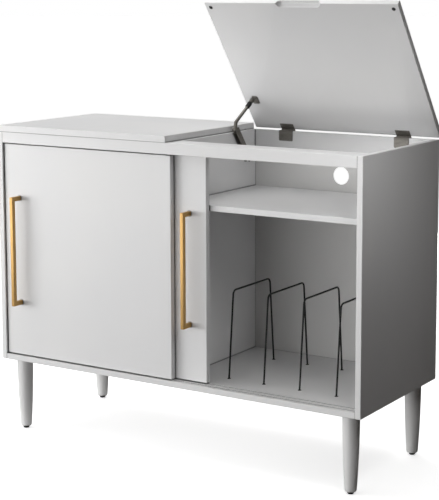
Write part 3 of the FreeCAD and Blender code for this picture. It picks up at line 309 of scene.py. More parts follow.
pebbled("plain_steel", colour(0.42, 0.42, 0.43), colour(0.66, 0.66, 0.67), 350, 0.34, 0.00003, metal=1.0)
pebbled("black_wire", grey(0.005), grey(0.011), 1400, 0.52, 0.00006, shine=0.25)
pebbled("black_plastic", grey(0.005), colour(0.011, 0.011, 0.010), 1800, 0.50, 0.00003, shine=0.3)
# The white plastic gets painted shade in its joints.
pebbled("white_plastic", colour(0.70, 0.70, 0.695), colour(0.76, 0.76, 0.755), 1800, 0.34, 0.00002,
        seam_shade=True)
pebbled("black_rubber", colour(0.014, 0.014, 0.015), grey(0.034), 900, 0.70, 0.00005)

wood = Finish("beech")
fleck = wood.noise(1.0, 3.0, stretch=(900, 120, 900))
wood.set(Base_Color=wood.blend(fleck.ramp(), colour(0.50, 0.30, 0.16), colour(0.66, 0.45, 0.27)),
         Roughness=0.5 + 0.15 * fleck)
wood.bump(fleck, 0.00008)
print("finishes:", ", ".join(FINISHES))

# %% [markdown]
# ## Finish the CAD boards
#
# Each CAD node arrives with a plain material that is named for its slot in the record. The slot name is the
# key to the finish, so one loop dresses them all. Nodes that are made again below are then hidden.

# %% Dress the CAD nodes
for node in nodes.values():
    for material_slot in node.material_slots:
        material_slot.material = FINISHES[material_slot.material.name.split(".")[0]]
print("dressed:", len(nodes))

# %% [markdown]
# ## Tools for making pieces
#
# Lengths below are in millimetres, and a piece is brought to metres when it is finished. `turned` spins a
# profile round the Z axis, as a lathe does. `plate` thickens a flat outline, as a press or a saw does.
# `ease` rounds sharp edges a little, because no real edge is razor sharp and the small radius catches light.

# %% Helpers for shapes
MM = 0.001
FULL_TURN = 2 * math.pi
QUARTER_TURN = math.pi / 2
OVERSHOOT = 1  # how far a cutter stands out of what it cuts
PLANES = {"XY": Matrix(((1, 0, 0), (0, 1, 0), (0, 0, 1))),
          "YZ": Matrix(((0, 0, 1), (1, 0, 0), (0, 1, 0))),
          "XZ": Matrix(((1, 0, 0), (0, 0, 1), (0, 1, 0)))}


def turned(profile, sides=48):
    """A closed round body from (radius, height) pairs; the first and last radius are 0."""
    shape = bmesh.new()
    rings = []
    for radius, height in profile:
        turns = [FULL_TURN * step / sides for step in range(sides if radius else 1)]
        rings.append([shape.verts.new((radius * math.cos(turn), radius * math.sin(turn), height))
                      for turn in turns])
    for low, high in zip(rings, rings[1:]):
        for step in range(sides):
            after = (step + 1) % sides
            corners = [low[step % len(low)], low[after % len(low)], high[after % len(high)],
                       high[step % len(high)]]
            shape.faces.new(list(dict.fromkeys(corners)))
    bmesh.ops.recalc_face_normals(shape, faces=shape.faces)
    return shape


def rounded(corners, steps=5):
    """A flat outline from (x, y, radius) corners, each radius turned into a short arc."""
    points = []
    count = len(corners)
    for index, (x, y, radius) in enumerate(corners):
        here = Vector((x, y))
        before = (Vector(corners[index - 1][:2]) - here).normalized()
        after = (Vector(corners[(index + 1) % count][:2]) - here).normalized()
        if radius == 0:
            points.append(here)
            continue
        half_angle = before.angle(after) / 2
        middle = here + (before + after).normalized() * (radius / math.sin(half_angle))
        start = here + before * (radius / math.tan(half_angle)) - middle
        end = here + after * (radius / math.tan(half_angle)) - middle
        sweep = start.angle_signed(end)
        for step in range(steps + 1):
            points.append(middle + Matrix.Rotation(-sweep * step / steps, 2) @ start)
    return points


def plate(outline, thickness, plane="XY", lift=0.0):
    """A flat outline given a thickness. The plane names its two directions, and lift its start."""
    turn = PLANES[plane]
    shape = bmesh.new()
    floors = [[shape.verts.new(turn @ Vector((point[0], point[1], level))) for point in outline]
              for level in (lift, lift + thickness)]
    shape.faces.new(floors[0])
    shape.faces.new(floors[1])
    for index in range(len(outline)):
        after = (index + 1) % len(outline)
        shape.faces.new([floors[0][index], floors[0][after], floors[1][after], floors[1][index]])
    bmesh.ops.recalc_face_normals(shape, faces=shape.faces)
    return shape


def brick(low, high):
    """A box between two corners."""
    x0, y0, z0 = low
    x1, y1, z1 = high
    return plate([(x0, y0), (x1, y0), (x1, y1), (x0, y1)], z1 - z0, "XY", z0)


def at(x, y, z):
    """The move from the origin to a place."""
    return Matrix.Translation((x, y, z))


def quarter_arc(steps):
    """The sine and cosine of evenly spaced angles from 0 to a quarter turn."""
    turns = [QUARTER_TURN * step / steps for step in range(steps + 1)]
    return [(math.sin(turn), math.cos(turn)) for turn in turns]


def moved(shape, place):
    bmesh.ops.transform(shape, matrix=place, verts=shape.verts)
    return shape


def ease(shape, width, steps=2, angle=40):
    """Round the edges that are sharper than an angle."""
    limit = math.radians(angle)
    sharp = [edge for edge in shape.edges if edge.is_manifold and edge.calc_face_angle(0) > limit]
    bmesh.ops.bevel(shape, geom=sharp, offset=width, segments=steps, profile=0.5, affect="EDGES",
                    clamp_overlap=True)
    return shape


def join(*shapes):
    """Several shapes as one mesh."""
    whole = bmesh.new()
    for shape in shapes:
        part = bpy.data.meshes.new("part")
        shape.to_mesh(part)
        shape.free()
        whole.from_mesh(part)
        bpy.data.meshes.remove(part)
    return whole


def box_mm(name):
    """A CAD node's lowest and highest corner, in millimetres."""
    low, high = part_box(name)
    return low / MM, high / MM


print("shape helpers ready")

# %% [markdown]
# ## From a shape to a piece
#
# `carve` cuts one shape out of another with an exact boolean. `piece` finishes a shape: it is brought to
# metres, shaded smooth except over sharp edges, given its finish, tied to the body that it moves with, and
# put in the place of the CAD nodes that it stands for. The finish is that of the record's slot, unless
# `look` names another.

# %% Helpers for pieces
TO_METRES = Matrix.Scale(MM, 4)
MERGE_DISTANCE = 0.0005
FLAT_ANGLE, SHARP_ANGLE = math.radians(0.5), math.radians(35)


def to_object(name, shape):
    mesh = bpy.data.meshes.new(name)
    shape.to_mesh(mesh)
    shape.free()
    return placed(name, mesh)


def drawn(name, points, edges=(), faces=()):
    """An object from bare points, edges and faces."""
    mesh = bpy.data.meshes.new(name)
    mesh.from_pydata(points, edges, faces)
    return placed(name, mesh)


def frozen(thing):
    """The object with its modifiers turned into a plain mesh."""
    graph = bpy.context.evaluated_depsgraph_get()
    mesh = bpy.data.meshes.new_from_object(thing.evaluated_get(graph))
    thing.modifiers.clear()
    thing.data = mesh
    return thing


def carve(shape, *tools):
    """The shape without its tools."""
    base = to_object("base", shape)
    for tool in tools:
        cutter = to_object("cutter", tool)
        cut = base.modifiers.new("cut", "BOOLEAN")
        cut.operation = "DIFFERENCE"
        cut.solver = "EXACT"
        cut.object = cutter
        frozen(base)
        bpy.data.objects.remove(cutter)
    carved = bmesh.new()
    carved.from_mesh(base.data)
    bpy.data.objects.remove(base)
    bmesh.ops.remove_doubles(carved, verts=carved.verts, dist=MERGE_DISTANCE)
    bmesh.ops.dissolve_limit(carved, angle_limit=FLAT_ANGLE, verts=carved.verts, edges=carved.edges)
    return carved


def finish(thing, body, slot, *stands_for, look=None):
    thing.data.materials.clear()
    thing.data.materials.append(FINISHES[look or slot])
    thing.data.shade_smooth()
    thing.data.set_sharp_from_angle(angle=SHARP_ANGLE)
    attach(thing, body)
    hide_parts(*stands_for)
    print(thing.name, "faces:", len(thing.data.polygons))


def piece(name, shape, body, slot, *stands_for):
    finish(to_object(name, moved(shape, TO_METRES)), body, slot, *stands_for)


print("piece helpers ready")

# %% [markdown]
# ## Repeating a small part
#
# Legs, glides, bumpers and screws repeat, so one is made and then set out on points. The Geometry Nodes tree
# below puts a pattern on each point, turns it to face the point's `aim`, and spins it by a random angle, as
# screws never end in the same position. Like every tree here it ends in Realize Instances and Set Material.


# %% Set-out tree
class Tree:
    """A Geometry Nodes tree with named inputs."""

    def __init__(self, name, inputs):
        self.tree = bpy.data.node_groups.new(name, "GeometryNodeTree")
        self.socket("Geometry", "Geometry")
        self.socket("Geometry", "Geometry", "OUTPUT")
        self.keys = {label: self.socket(label, kind) for label, kind in inputs.items()}
        self.given = add_node(self.tree, "NodeGroupInput").outputs

    def socket(self, label, kind, way="INPUT"):
        made = self.tree.interface.new_socket(name=label, in_out=way, socket_type="NodeSocket" + kind)
        return made.identifier

    def add(self, kind, settings=None, inputs=None, output=0):
        return add_node(self.tree, kind, settings, inputs).outputs[output]

    def end(self, result):
        """The last nodes: real meshes that wear their finish."""
        real = self.add("GeometryNodeRealizeInstances", None, {0: result})
        coated = self.add("GeometryNodeSetMaterial", None,
                          {"Geometry": real, "Material": self.given["Finish"]})
        add_node(self.tree, "NodeGroupOutput", None, {0: coated})
        print(self.tree.name, "tree:", len(self.tree.nodes), "nodes")

    def run(self, thing, inputs):
        """Put the tree on an object and keep what it makes as a plain mesh."""
        modifier = thing.modifiers.new(self.tree.name, "NODES")
        modifier.node_group = self.tree
        for label, value in inputs.items():
            modifier[self.keys[label]] = value
        return frozen(thing)


set_out = Tree("set_out", {"Pattern": "Object", "Spin": "Float", "Seed": "Int", "Finish": "Material"})
spots = set_out.add("GeometryNodeMeshToPoints", None, {"Mesh": set_out.given["Geometry"]})
pattern = set_out.add("GeometryNodeObjectInfo", {"transform_space": "ORIGINAL"},
                      {"Object": set_out.given["Pattern"]}, "Geometry")
aims = set_out.add("GeometryNodeInputNamedAttribute", {"data_type": "FLOAT_VECTOR"}, {"Name": "aim"})
faced = set_out.add("FunctionNodeAlignRotationToVector", {"axis": "Z"}, {"Vector": aims})
chance = set_out.add("FunctionNodeRandomValue", {"data_type": "FLOAT"}, {"Seed": set_out.given["Seed"]}, 1)
angle = set_out.add("ShaderNodeMath", {"operation": "MULTIPLY"}, {0: chance, 1: set_out.given["Spin"]})
spin = set_out.add("FunctionNodeAxisAngleToRotation", None, {"Angle": angle})
both = set_out.add("FunctionNodeRotateRotation", {"rotation_space": "LOCAL"}, {0: faced, 1: spin})
set_out.end(set_out.add("GeometryNodeInstanceOnPoints", None,
                        {"Points": spots, "Instance": pattern, "Rotation": both}))

# %% [markdown]
# The next function runs the tree for one group of equal parts that face the same way. Places are in
# millimetres, and the pattern's own Z axis is turned to the way.

# %% Run the set-out tree
UP, BACKWARDS, FORWARDS, RIGHT = (0, 0, 1), (0, 1, 0), (0, -1, 0), (1, 0, 0)


def repeat(name, shape, places, way, body, slot, *stands_for, spin=0.0, look=None):
    pattern_object = to_object("pattern", moved(shape, TO_METRES))
    thing = drawn(name, [Vector(place) * MM for place in places])
    directions = thing.data.attributes.new("aim", "FLOAT_VECTOR", "POINT")
    directions.data.foreach_set("vector", list(way) * len(places))
    set_out.run(thing, {"Pattern": pattern_object, "Spin": spin, "Seed": len(name),
                        "Finish": FINISHES[look or slot]})
    bpy.data.objects.remove(pattern_object)
    finish(thing, body, slot, *stands_for, look=look)


print("repeat ready")

# %% [markdown]
# ## Legs and glides
#
# A leg is turned on a lathe: it tapers from a wide top to a narrow foot with a slight swell, and its foot is
# rounded over so that it doesn't splinter. Under it sits a nailed plastic glide. Both are profiles spun
# round an axis, and the same leg stands at four corners.

# %% Legs
LEG_TOP, LEG_FOOT, LEG_SWELL, FOOT_ROUND = 23.0, 16.0, 1.6, 6.0
ROUND_STEPS, TAPER_STEPS, LEG_SIDES = 6, 16, 64
leg_low, leg_high = box_mm("legs_front")
leg_length = leg_high.z - leg_low.z
leg_profile = [(0, 0), (LEG_FOOT - FOOT_ROUND, 0)]
for sine, cosine in quarter_arc(ROUND_STEPS)[1:-1]:
    leg_profile.append((LEG_FOOT - FOOT_ROUND * (1 - sine), FOOT_ROUND * (1 - cosine)))
for step in range(TAPER_STEPS + 1):
    share = step / TAPER_STEPS
    height = FOOT_ROUND + (leg_length - FOOT_ROUND) * share
    swell = 4 * LEG_SWELL * share * (1 - share)
    leg_profile.append((LEG_FOOT + (LEG_TOP - LEG_FOOT) * share + swell, height))
leg_profile.append((0, leg_length))

for row in ("front", "back"):
    low, high = box_mm("legs_" + row)
    middle_y = (low.y + high.y) / 2
    leg_x = high.x - LEG_TOP
    corners = [(side * leg_x, middle_y, low.z) for side in (-1, 1)]
    repeat(row + "_legs", turned(leg_profile, LEG_SIDES), corners, UP, "cabinet", "white_lacquer",
           "legs_" + row, look="painted_leg")

# %% Glides
GLIDE_RADIUS, GLIDE_HEIGHT = 8.5, 6.0
glide_profile = [(0, 0), (6.0, 0), (7.4, 0.4), (8.2, 1.4), (GLIDE_RADIUS, 2.8), (GLIDE_RADIUS, GLIDE_HEIGHT),
                 (0, GLIDE_HEIGHT)]
low, high = box_mm("leg_glides")
glide_places = [(x, y, 0) for x in (low.x + GLIDE_RADIUS, high.x - GLIDE_RADIUS)
                for y in (low.y + GLIDE_RADIUS, high.y - GLIDE_RADIUS)]
repeat("glides", turned(glide_profile, 32), glide_places, UP, "cabinet", "black_plastic", "leg_glides")

# %% [markdown]
# ## The lid's own frame
#
# Pieces of the lid are drawn as if the lid were closed, with the hinge pin at the origin, and then swung
# open with one matrix. That keeps every number square and easy to check.

# %% Lid frame
hinge = next(joint for joint in frame["joints"] if joint["name"] == "lid_hinge")
HINGE_Y, HINGE_Z = (value / MM for value in hinge["pos_m"][1:])
LID_OPEN = math.radians(hinge["range_deg"][1])
OPEN_LID = at(0, HINGE_Y, HINGE_Z) @ Matrix.Rotation(-LID_OPEN, 4, "X")
OUT_OF_LID = OPEN_LID.to_3x3() @ Vector((0, 0, -1))
LID_BACK, LID_FRONT, LID_UNDER, LID_THICK = -3.2, -456.2, 1.0, 16.0
LID_LEFT, LID_RIGHT = 3.0, 584.0
LID_MIDDLE = (LID_LEFT + LID_RIGHT) / 2
HINGE_MIDDLES = (111.0, 476.0)
print("hinge pin at", round(HINGE_Y, 1), round(HINGE_Z, 1), "open", round(math.degrees(LID_OPEN)), "degrees")

# %% [markdown]
# ## Lid panel
#
# The lid is one lacquered board. Its finger pull is a cove cut with a round-nosed cutter along the lower
# front edge, so it is a long capsule taken out of the board. Two shallow beds take the hinge leaves.

# %% Lid panel
COVE_RADIUS, COVE_LENGTH, BALL_STEPS = 13.0, 133.0, 12
LID_EDGE, LID_EDGE_STEPS = 1.25, 4
HINGE_LENGTH, LEAF_REACH, LEAF_THICK, BED_ROOM = 44.0, 20.0, 1.2, 0.1
ALONG_X = Matrix.Rotation(QUARTER_TURN, 4, "Y")


def capsule(radius, length):
    """A round bar with ball ends, along X."""
    straight = length / 2 - radius
    arc = [(radius * sine, radius * cosine) for sine, cosine in quarter_arc(BALL_STEPS)]
    profile = [(size, -straight - rise) for size, rise in arc]
    profile += [(size, straight + rise) for size, rise in reversed(arc)]
    return moved(turned(profile), ALONG_X)


lid_board = brick((LID_LEFT, LID_FRONT, LID_UNDER), (LID_RIGHT, LID_BACK, LID_UNDER + LID_THICK))
lid_tools = [moved(capsule(COVE_RADIUS, COVE_LENGTH), at(LID_MIDDLE, LID_FRONT, LID_UNDER))]
for middle in HINGE_MIDDLES:
    bed = HINGE_LENGTH / 2 + BED_ROOM
    lid_tools.append(brick((middle - bed, LID_BACK - LEAF_REACH - BED_ROOM, LID_UNDER - OVERSHOOT),
                           (middle + bed, LID_BACK + OVERSHOOT, LID_UNDER + LEAF_THICK + BED_ROOM)))
lid_board = carve(ease(lid_board, LID_EDGE, LID_EDGE_STEPS), *lid_tools)
piece("lid", moved(lid_board, OPEN_LID), "lid", "white_lacquer", "lid_panel")

# %% [markdown]
# ## Bumpers
#
# Two rubber buttons keep the lid from slapping down. Each is a low dome with a dimple where its pin is
# pressed in, and it points out of the lid's underside.

# %% Bumpers
BUMPER_INSET = 15.5
bumper_profile = [(0, 1.2), (0.9, 1.3), (1.5, 1.9), (3.0, 1.85), (4.2, 1.4), (4.85, 0.7), (5.0, 0), (0, 0)]
bumper_places = [OPEN_LID @ Vector((x, LID_FRONT + BUMPER_INSET, LID_UNDER))
                 for x in (LID_LEFT + BUMPER_INSET, LID_RIGHT - BUMPER_INSET)]
repeat("bumpers", turned(bumper_profile, 40), bumper_places, OUT_OF_LID, "lid", "black_rubber",
       "lid_bumpers")

# %% [markdown]
# ## Screws
#
# A countersunk head is a cone that ends flush, and a pan head is a low dome. Both have a cross recess, which
# is two crossed wedges cut from the head. The shank under the head runs on into the wood.

# %% Screw patterns
SCREW_SIDES, DOME_STEPS = 28, 5
WEDGE_WIDTH = 0.36  # the cross recess's width as a share of its half length


def cross_cutter(size, depth, top):
    """Two crossed wedges that narrow downwards from a height."""
    wedges = []
    for turn in (0, QUARTER_TURN):
        outline = [(-size, top + OVERSHOOT), (size, top + OVERSHOOT), (size * 0.8, top - depth * 0.5),
                   (0, top - depth), (-size * 0.8, top - depth * 0.5)]
        wedge = plate(outline, size * WEDGE_WIDTH, "XZ", -size * WEDGE_WIDTH / 2)
        wedges.append(moved(wedge, Matrix.Rotation(turn, 4, "Z")))
    return wedges


def flat_head(radius, shank, length):
    body = turned([(0, -length), (shank * 0.5, -length + 1.2), (shank, -length + 3), (shank, -1.3),
                   (radius, -0.12), (radius - 0.1, 0), (0, 0)], SCREW_SIDES)
    return carve(body, *cross_cutter(size=radius * 0.56, depth=1.0, top=0))


def pan_head(radius, height, shank, length):
    dome = [(radius * cosine, height * sine) for sine, cosine in quarter_arc(DOME_STEPS)[:-1]]
    body = turned([(0, -length), (shank * 0.5, -length + 1.5), (shank, -length + 4), (shank, 0)] + dome
                  + [(0, height)], SCREW_SIDES)
    return carve(body, *cross_cutter(size=radius * 0.5, depth=1.1, top=height))


print("screw patterns ready")

# %% [markdown]
# ## Hinges
#
# Each butt hinge has a leaf let into the lid and a leaf that folds over the back rail. Both end in rolled
# knuckles that interlock on one pin. The leaves are pressed from strip, so their outer corners are rounded
# and their screw holes are countersunk.

# %% Hinge leaves
KNUCKLE_RADIUS, KNUCKLE_EDGE, KNUCKLE_GAP, KNUCKLES = 3.0, 0.35, 0.2, 3
RAIL_THICK, LEAF_DROP, LEAF_TOP = 12.0, 28.0, -1.0
LEAF_CORNER, LEAF_EDGE, LEAF_LAP, FOLD_CORNER, FOLD_EDGE = 2.5, 0.2, 0.6, 1.1, 0.15
RAIL_LEAF_END, LID_LEAF_END = 1.1, 1.2  # how far each leaf runs past the lid's back edge, into its knuckles
RAIL_FACE = LID_BACK - RAIL_THICK
SCREW_SPREAD = 28.0
RAIL_SCREW_Z = LEAF_TOP - 17.4
LID_SCREW_Y = LID_BACK - 12.0


def knuckles(middle, first):
    """Every second rolled knuckle of a hinge."""
    pitch = HINGE_LENGTH / KNUCKLES
    long = pitch - KNUCKLE_GAP
    flat = KNUCKLE_RADIUS - KNUCKLE_EDGE
    profile = [(0, 0), (flat, 0), (KNUCKLE_RADIUS, KNUCKLE_EDGE), (KNUCKLE_RADIUS, long - KNUCKLE_EDGE),
               (flat, long), (0, long)]
    starts = [middle - HINGE_LENGTH / 2 + pitch * index + KNUCKLE_GAP / 2
              for index in range(first, KNUCKLES, 2)]
    return [moved(turned(profile, 32), at(start, 0, 0) @ ALONG_X) for start in starts]


def countersink(x, y, z, turn):
    """A cutter for a screw hole whose mouth is a cone."""
    hole, mouth, cone, deep = 1.75, 3.0, 1.4, 4
    cutter = turned([(0, -deep), (hole, -deep), (hole, -cone), (mouth, 0), (mouth, OVERSHOOT),
                     (0, OVERSHOOT)], SCREW_SIDES)
    return moved(cutter, at(x, y, z) @ turn)


TO_FRONT = Matrix.Rotation(QUARTER_TURN, 4, "X")
DOWNWARDS = Matrix.Rotation(math.pi, 4, "X")
for side, middle in zip(("left", "right"), HINGE_MIDDLES):
    left, right = middle - HINGE_LENGTH / 2, middle + HINGE_LENGTH / 2
    sides_x = (middle - SCREW_SPREAD / 2, middle + SCREW_SPREAD / 2)
    bottom, top = LEAF_TOP - LEAF_DROP, LEAF_TOP + LEAF_THICK
    leaf_front, leaf_back = RAIL_FACE - LEAF_THICK, LID_BACK + RAIL_LEAF_END
    flange = plate(rounded([(left, bottom, LEAF_CORNER), (right, bottom, LEAF_CORNER),
                            (right, LEAF_TOP + LEAF_LAP, 0), (left, LEAF_TOP + LEAF_LAP, 0)]),
                   LEAF_THICK, "XZ", leaf_front)
    flange = carve(flange, *[countersink(x, leaf_front, RAIL_SCREW_Z, TO_FRONT) for x in sides_x])
    fold = plate(rounded([(leaf_front, LEAF_TOP - LEAF_LAP, 0), (RAIL_FACE, LEAF_TOP - LEAF_LAP, 0),
                          (RAIL_FACE, LEAF_TOP, 0), (leaf_back, LEAF_TOP, 0), (leaf_back, top, 0),
                          (leaf_front, top, FOLD_CORNER)]), HINGE_LENGTH, "YZ", left)
    leaf = join(ease(flange, LEAF_EDGE), ease(fold, FOLD_EDGE), *knuckles(middle, 0))
    piece(side + "_rail_leaf", moved(leaf, at(0, HINGE_Y, HINGE_Z)), "cabinet", "dark_steel",
          f"hinge_{side}_fixed_leaf")
    front, back = LID_BACK - LEAF_REACH, LID_BACK + LID_LEAF_END
    strip = plate(rounded([(left, front, LEAF_CORNER), (right, front, LEAF_CORNER), (right, back, 0),
                           (left, back, 0)]), LEAF_THICK, "XY", LID_UNDER)
    strip = carve(strip, *[countersink(x, LID_SCREW_Y, LID_UNDER, DOWNWARDS) for x in sides_x])
    leaf = join(ease(strip, LEAF_EDGE), *knuckles(middle, 1))
    piece(side + "_lid_leaf", moved(leaf, OPEN_LID), "lid", "dark_steel", f"hinge_{side}_lid_leaf")

# %% Hinge pins and screws
PIN_RADIUS, PIN_CHAMFER = 1.5, 0.5
HINGE_SCREW = (2.6, 1.5, 10.2)  # head radius, shank radius, length
pin_profile = [(0, 0), (1.1, 0.05), (PIN_RADIUS, PIN_CHAMFER), (PIN_RADIUS, HINGE_LENGTH - PIN_CHAMFER),
               (1.1, HINGE_LENGTH - 0.05), (0, HINGE_LENGTH)]
repeat("pins_of_hinges", turned(pin_profile, 24),
       [(middle - HINGE_LENGTH / 2, HINGE_Y, HINGE_Z) for middle in HINGE_MIDDLES], RIGHT,
       "cabinet", "dark_steel", "hinge_pins")
hinge_screw_x = [middle + SCREW_SPREAD * half for middle in HINGE_MIDDLES for half in (-0.5, 0.5)]
repeat("rail_screws", flat_head(*HINGE_SCREW),
       [(x, HINGE_Y + RAIL_FACE - LEAF_THICK, HINGE_Z + RAIL_SCREW_Z) for x in hinge_screw_x], FORWARDS,
       "cabinet", "dark_steel", "hinge_rail_screws", spin=FULL_TURN)
repeat("lid_screws", flat_head(*HINGE_SCREW),
       [OPEN_LID @ Vector((x, LID_SCREW_Y, LID_UNDER)) for x in hinge_screw_x], OUT_OF_LID,
       "lid", "dark_steel", "hinge_lid_screws", spin=FULL_TURN)

# %% [markdown]
# ## Lid stay
#
# The stay is a small parallelogram. A plate on the partition carries a stud, a channel arm turns on it, a
# bent bar is pinned to the channel's other end, and a bracket under the lid takes the bar. Its places come
# from the hinge pin, so it closes exactly as the joints say.

# %% Stay places
ARM_RUN, ARM_RISE, KNEE_RUN, KNEE_RISE = 68.6, 79.2, 5.6, 24.0
STAY_REACH, STAY_DROP = 110.0, 6.0
PLATE_X, PLATE_THICK, CHANNEL_X, CHANNEL_WIDE, CHANNEL_WALL = 8.0, 2.0, 10.5, 12.0, 1.4
STAY_PIN, STAY_HEAD, HEAD_THICK = 2.5, 3.8, 0.9
STAY_SCREW = (3.4, 1.5, 1.75, 13.0)  # head radius, head height, shank radius, length
STUD = Vector((0, HINGE_Y - ARM_RUN, HINGE_Z - ARM_RISE))
PIVOT = OPEN_LID @ Vector((0, -STAY_REACH, LID_UNDER - STAY_DROP))


def rivet(x, y, z, length, way=1):
    """A pin along X with a domed head at its far end."""
    profile = [(0, 0), (STAY_PIN, 0), (STAY_PIN, length), (STAY_HEAD, length), (STAY_HEAD, length + 0.25),
               (STAY_HEAD * 0.8, length + 0.65), (STAY_HEAD * 0.45, length + HEAD_THICK),
               (0, length + HEAD_THICK)]
    return moved(turned(profile, 32), at(x, y, z) @ Matrix.Rotation(way * QUARTER_TURN, 4, "Y"))


print("bracket pivot", [round(value, 1) for value in PIVOT], "stud", [round(value, 1) for value in STUD])

# %% Stay base plate
WING, PLATE_REACH, PLATE_CORNER, PLATE_EDGE, PLATE_SCREWS = 7.0, 46.0, 5, 0.3, (25.0, 39.0)
STUD_LENGTH = 14.7
base_plate = plate(rounded([(-WING, -WING, PLATE_CORNER), (PLATE_REACH, -WING, PLATE_CORNER),
                            (PLATE_REACH, WING, PLATE_CORNER), (-WING, WING, PLATE_CORNER)], 6),
                   PLATE_THICK, "YZ")
base_plate = join(ease(base_plate, PLATE_EDGE), rivet(0, 0, 0, STUD_LENGTH))
piece("stay_plate", moved(base_plate, at(PLATE_X, STUD.y, STUD.z)), "cabinet", "dark_steel",
      "stay_base_plate")
repeat("stay_plate_screws", pan_head(*STAY_SCREW),
       [(PLATE_X + PLATE_THICK, STUD.y + behind, STUD.z) for behind in PLATE_SCREWS], RIGHT,
       "cabinet", "dark_steel", "stay_base_screws", spin=FULL_TURN)

# %% [markdown]
# The lower arm is a pressed channel, open below, with a slot in its nose for the upper arm. It is drawn for
# the closed lid round its stud, as a rounded outline that is thickened and hollowed out.

# %% Lower arm
NOSE, TAIL, LOW, HIGH, MOUTH = 6.0, 9.0, 9.0, 10.0, 24.0
OPEN_ARM = at(CHANNEL_X, STUD.y, STUD.z) @ Matrix.Rotation(-LID_OPEN, 4, "X")
nose_y = -STAY_REACH - NOSE
inner_side = CHANNEL_WIDE - CHANNEL_WALL
channel = plate(rounded([(nose_y, -LOW, 4), (TAIL, -LOW, 5), (TAIL, HIGH, 5), (nose_y + NOSE, HIGH, 3),
                         (nose_y, HIGH - NOSE * 1.5, 3)], 6), CHANNEL_WIDE, "YZ")
hollow = brick((CHANNEL_WALL, nose_y - OVERSHOOT, -LOW - OVERSHOOT),
               (inner_side, TAIL + OVERSHOOT, HIGH - CHANNEL_WALL))
slot_cut = brick((CHANNEL_WALL, nose_y - OVERSHOOT, 0), (inner_side, -STAY_REACH + MOUTH, HIGH + OVERSHOOT))
channel = ease(carve(ease(channel, 0.8, steps=3), hollow, slot_cut), 0.2, steps=1, angle=60)
lower_arm = join(channel, rivet(0, -STAY_REACH, LID_UNDER - STAY_DROP, CHANNEL_WIDE))
piece("stay_channel", moved(lower_arm, OPEN_ARM), "stay_lower", "dark_steel", "stay_lower_arm")

# %% [markdown]
# The upper arm is a bar with round eyes and a knee. A groove is rolled into both of its faces, and above the
# knee it slants sideways to reach the bracket. It is drawn straight, with its grooves cut out, then cut
# across where the slant starts and stops, and everything above is shifted, as the real bar is bent.

# %% Upper arm
ARM_WIDE, ARM_THICK, ARM_STEP, EYE, EYE_STEPS = 9.0, 6.5, 12.0, 5.8, 14
GROOVE_WIDE, GROOVE_DEEP, GROOVE_START, GROOVE_STOP = 4.2, 1.5, 5, 9
elbow = Vector((-ARM_RUN, -ARM_RISE))
knee = Vector((KNEE_RUN - ARM_RUN, KNEE_RISE - ARM_RISE))
tip = Vector((0, 0))
ARM_X = CHANNEL_X + CHANNEL_WIDE / 2 - ARM_THICK / 2
ARM_PLACE = at(ARM_X, PIVOT.y, PIVOT.z)


def eye(centre, towards):
    """The round end of the bar, from one flank to the other."""
    back = (centre - towards).normalized()
    reach = math.pi - math.asin(ARM_WIDE / 2 / EYE)
    first = math.atan2(back.y, back.x)
    return [centre + Vector((math.cos(first + reach * share), math.sin(first + reach * share))) * EYE
            for share in [2 * step / EYE_STEPS - 1 for step in range(EYE_STEPS + 1)]]


def flank(sign):
    """The bar's corner at the knee, on one side."""
    low_way, high_way = (knee - elbow).normalized(), (tip - knee).normalized()
    middle = (low_way + high_way).normalized()
    across = Vector((-middle.y, middle.x)) * sign
    return knee + across * (ARM_WIDE / 2 / middle.dot(low_way))


def strip_outline(first, last, start, stop, width, corner):
    """A straight strip on the way from one point to another, with round corners."""
    along = (last - first).normalized()
    across = Vector((-along.y, along.x)) * width / 2
    ends = [first + along * start, first + along * stop]
    points = [ends[0] + across, ends[1] + across, ends[1] - across, ends[0] - across]
    return rounded([(point.x, point.y, corner) for point in points], 4)


def slanted(shape):
    """Shift a shape sideways between the knee and the upper eye."""
    low, high = knee.y, tip.y - EYE
    for level in (low, high):
        bmesh.ops.bisect_plane(shape, geom=list(shape.verts) + list(shape.edges) + list(shape.faces),
                               plane_co=(0, 0, level), plane_no=(0, 0, 1))
    for vert in shape.verts:
        vert.co.x += ARM_STEP * min(max((vert.co.z - low) / (high - low), 0), 1)
    return shape


arm_outline = eye(elbow, knee) + [flank(-1)] + eye(tip, knee) + [flank(1)]
groove_outline = strip_outline(knee, tip, GROOVE_START, (tip - knee).length - GROOVE_STOP, GROOVE_WIDE,
                               GROOVE_WIDE / 2 - 0.1)
grooves = [plate(groove_outline, GROOVE_DEEP + OVERSHOOT, "YZ", lift)
           for lift in (-OVERSHOOT, ARM_THICK - GROOVE_DEEP)]
upper_arm = ease(carve(plate(arm_outline, ARM_THICK, "YZ"), *grooves), 0.45, angle=50)
piece("stay_arm", moved(slanted(upper_arm), ARM_PLACE), "stay_upper", "dark_steel", "stay_upper_arm")

# %% [markdown]
# A black plastic sleeve is pushed over the bar below its upper eye. It is a block with a tunnel for the bar,
# and it slants with it.

# %% Sleeve
SLEEVE_WIDE, SLEEVE_WALL, SLEEVE_START, SLEEVE_END, SLEEVE_CORNER = 13.0, 1.5, 7.0, 26.0, 2.0
TUNNEL_ROOM, TUNNEL_PAST = 0.1, 5
block = plate(strip_outline(tip, knee, SLEEVE_START, SLEEVE_END, SLEEVE_WIDE, SLEEVE_CORNER),
              ARM_THICK + SLEEVE_WALL * 2, "YZ", -SLEEVE_WALL)
tunnel = plate(strip_outline(tip, knee, SLEEVE_START - TUNNEL_PAST, SLEEVE_END + TUNNEL_PAST,
                             ARM_WIDE + TUNNEL_ROOM, 0), ARM_THICK + TUNNEL_ROOM, "YZ", -TUNNEL_ROOM / 2)
sleeve = carve(ease(block, 0.9, steps=3), tunnel)
piece("stay_cover", moved(slanted(sleeve), ARM_PLACE), "stay_upper", "black_plastic", "stay_sleeve")

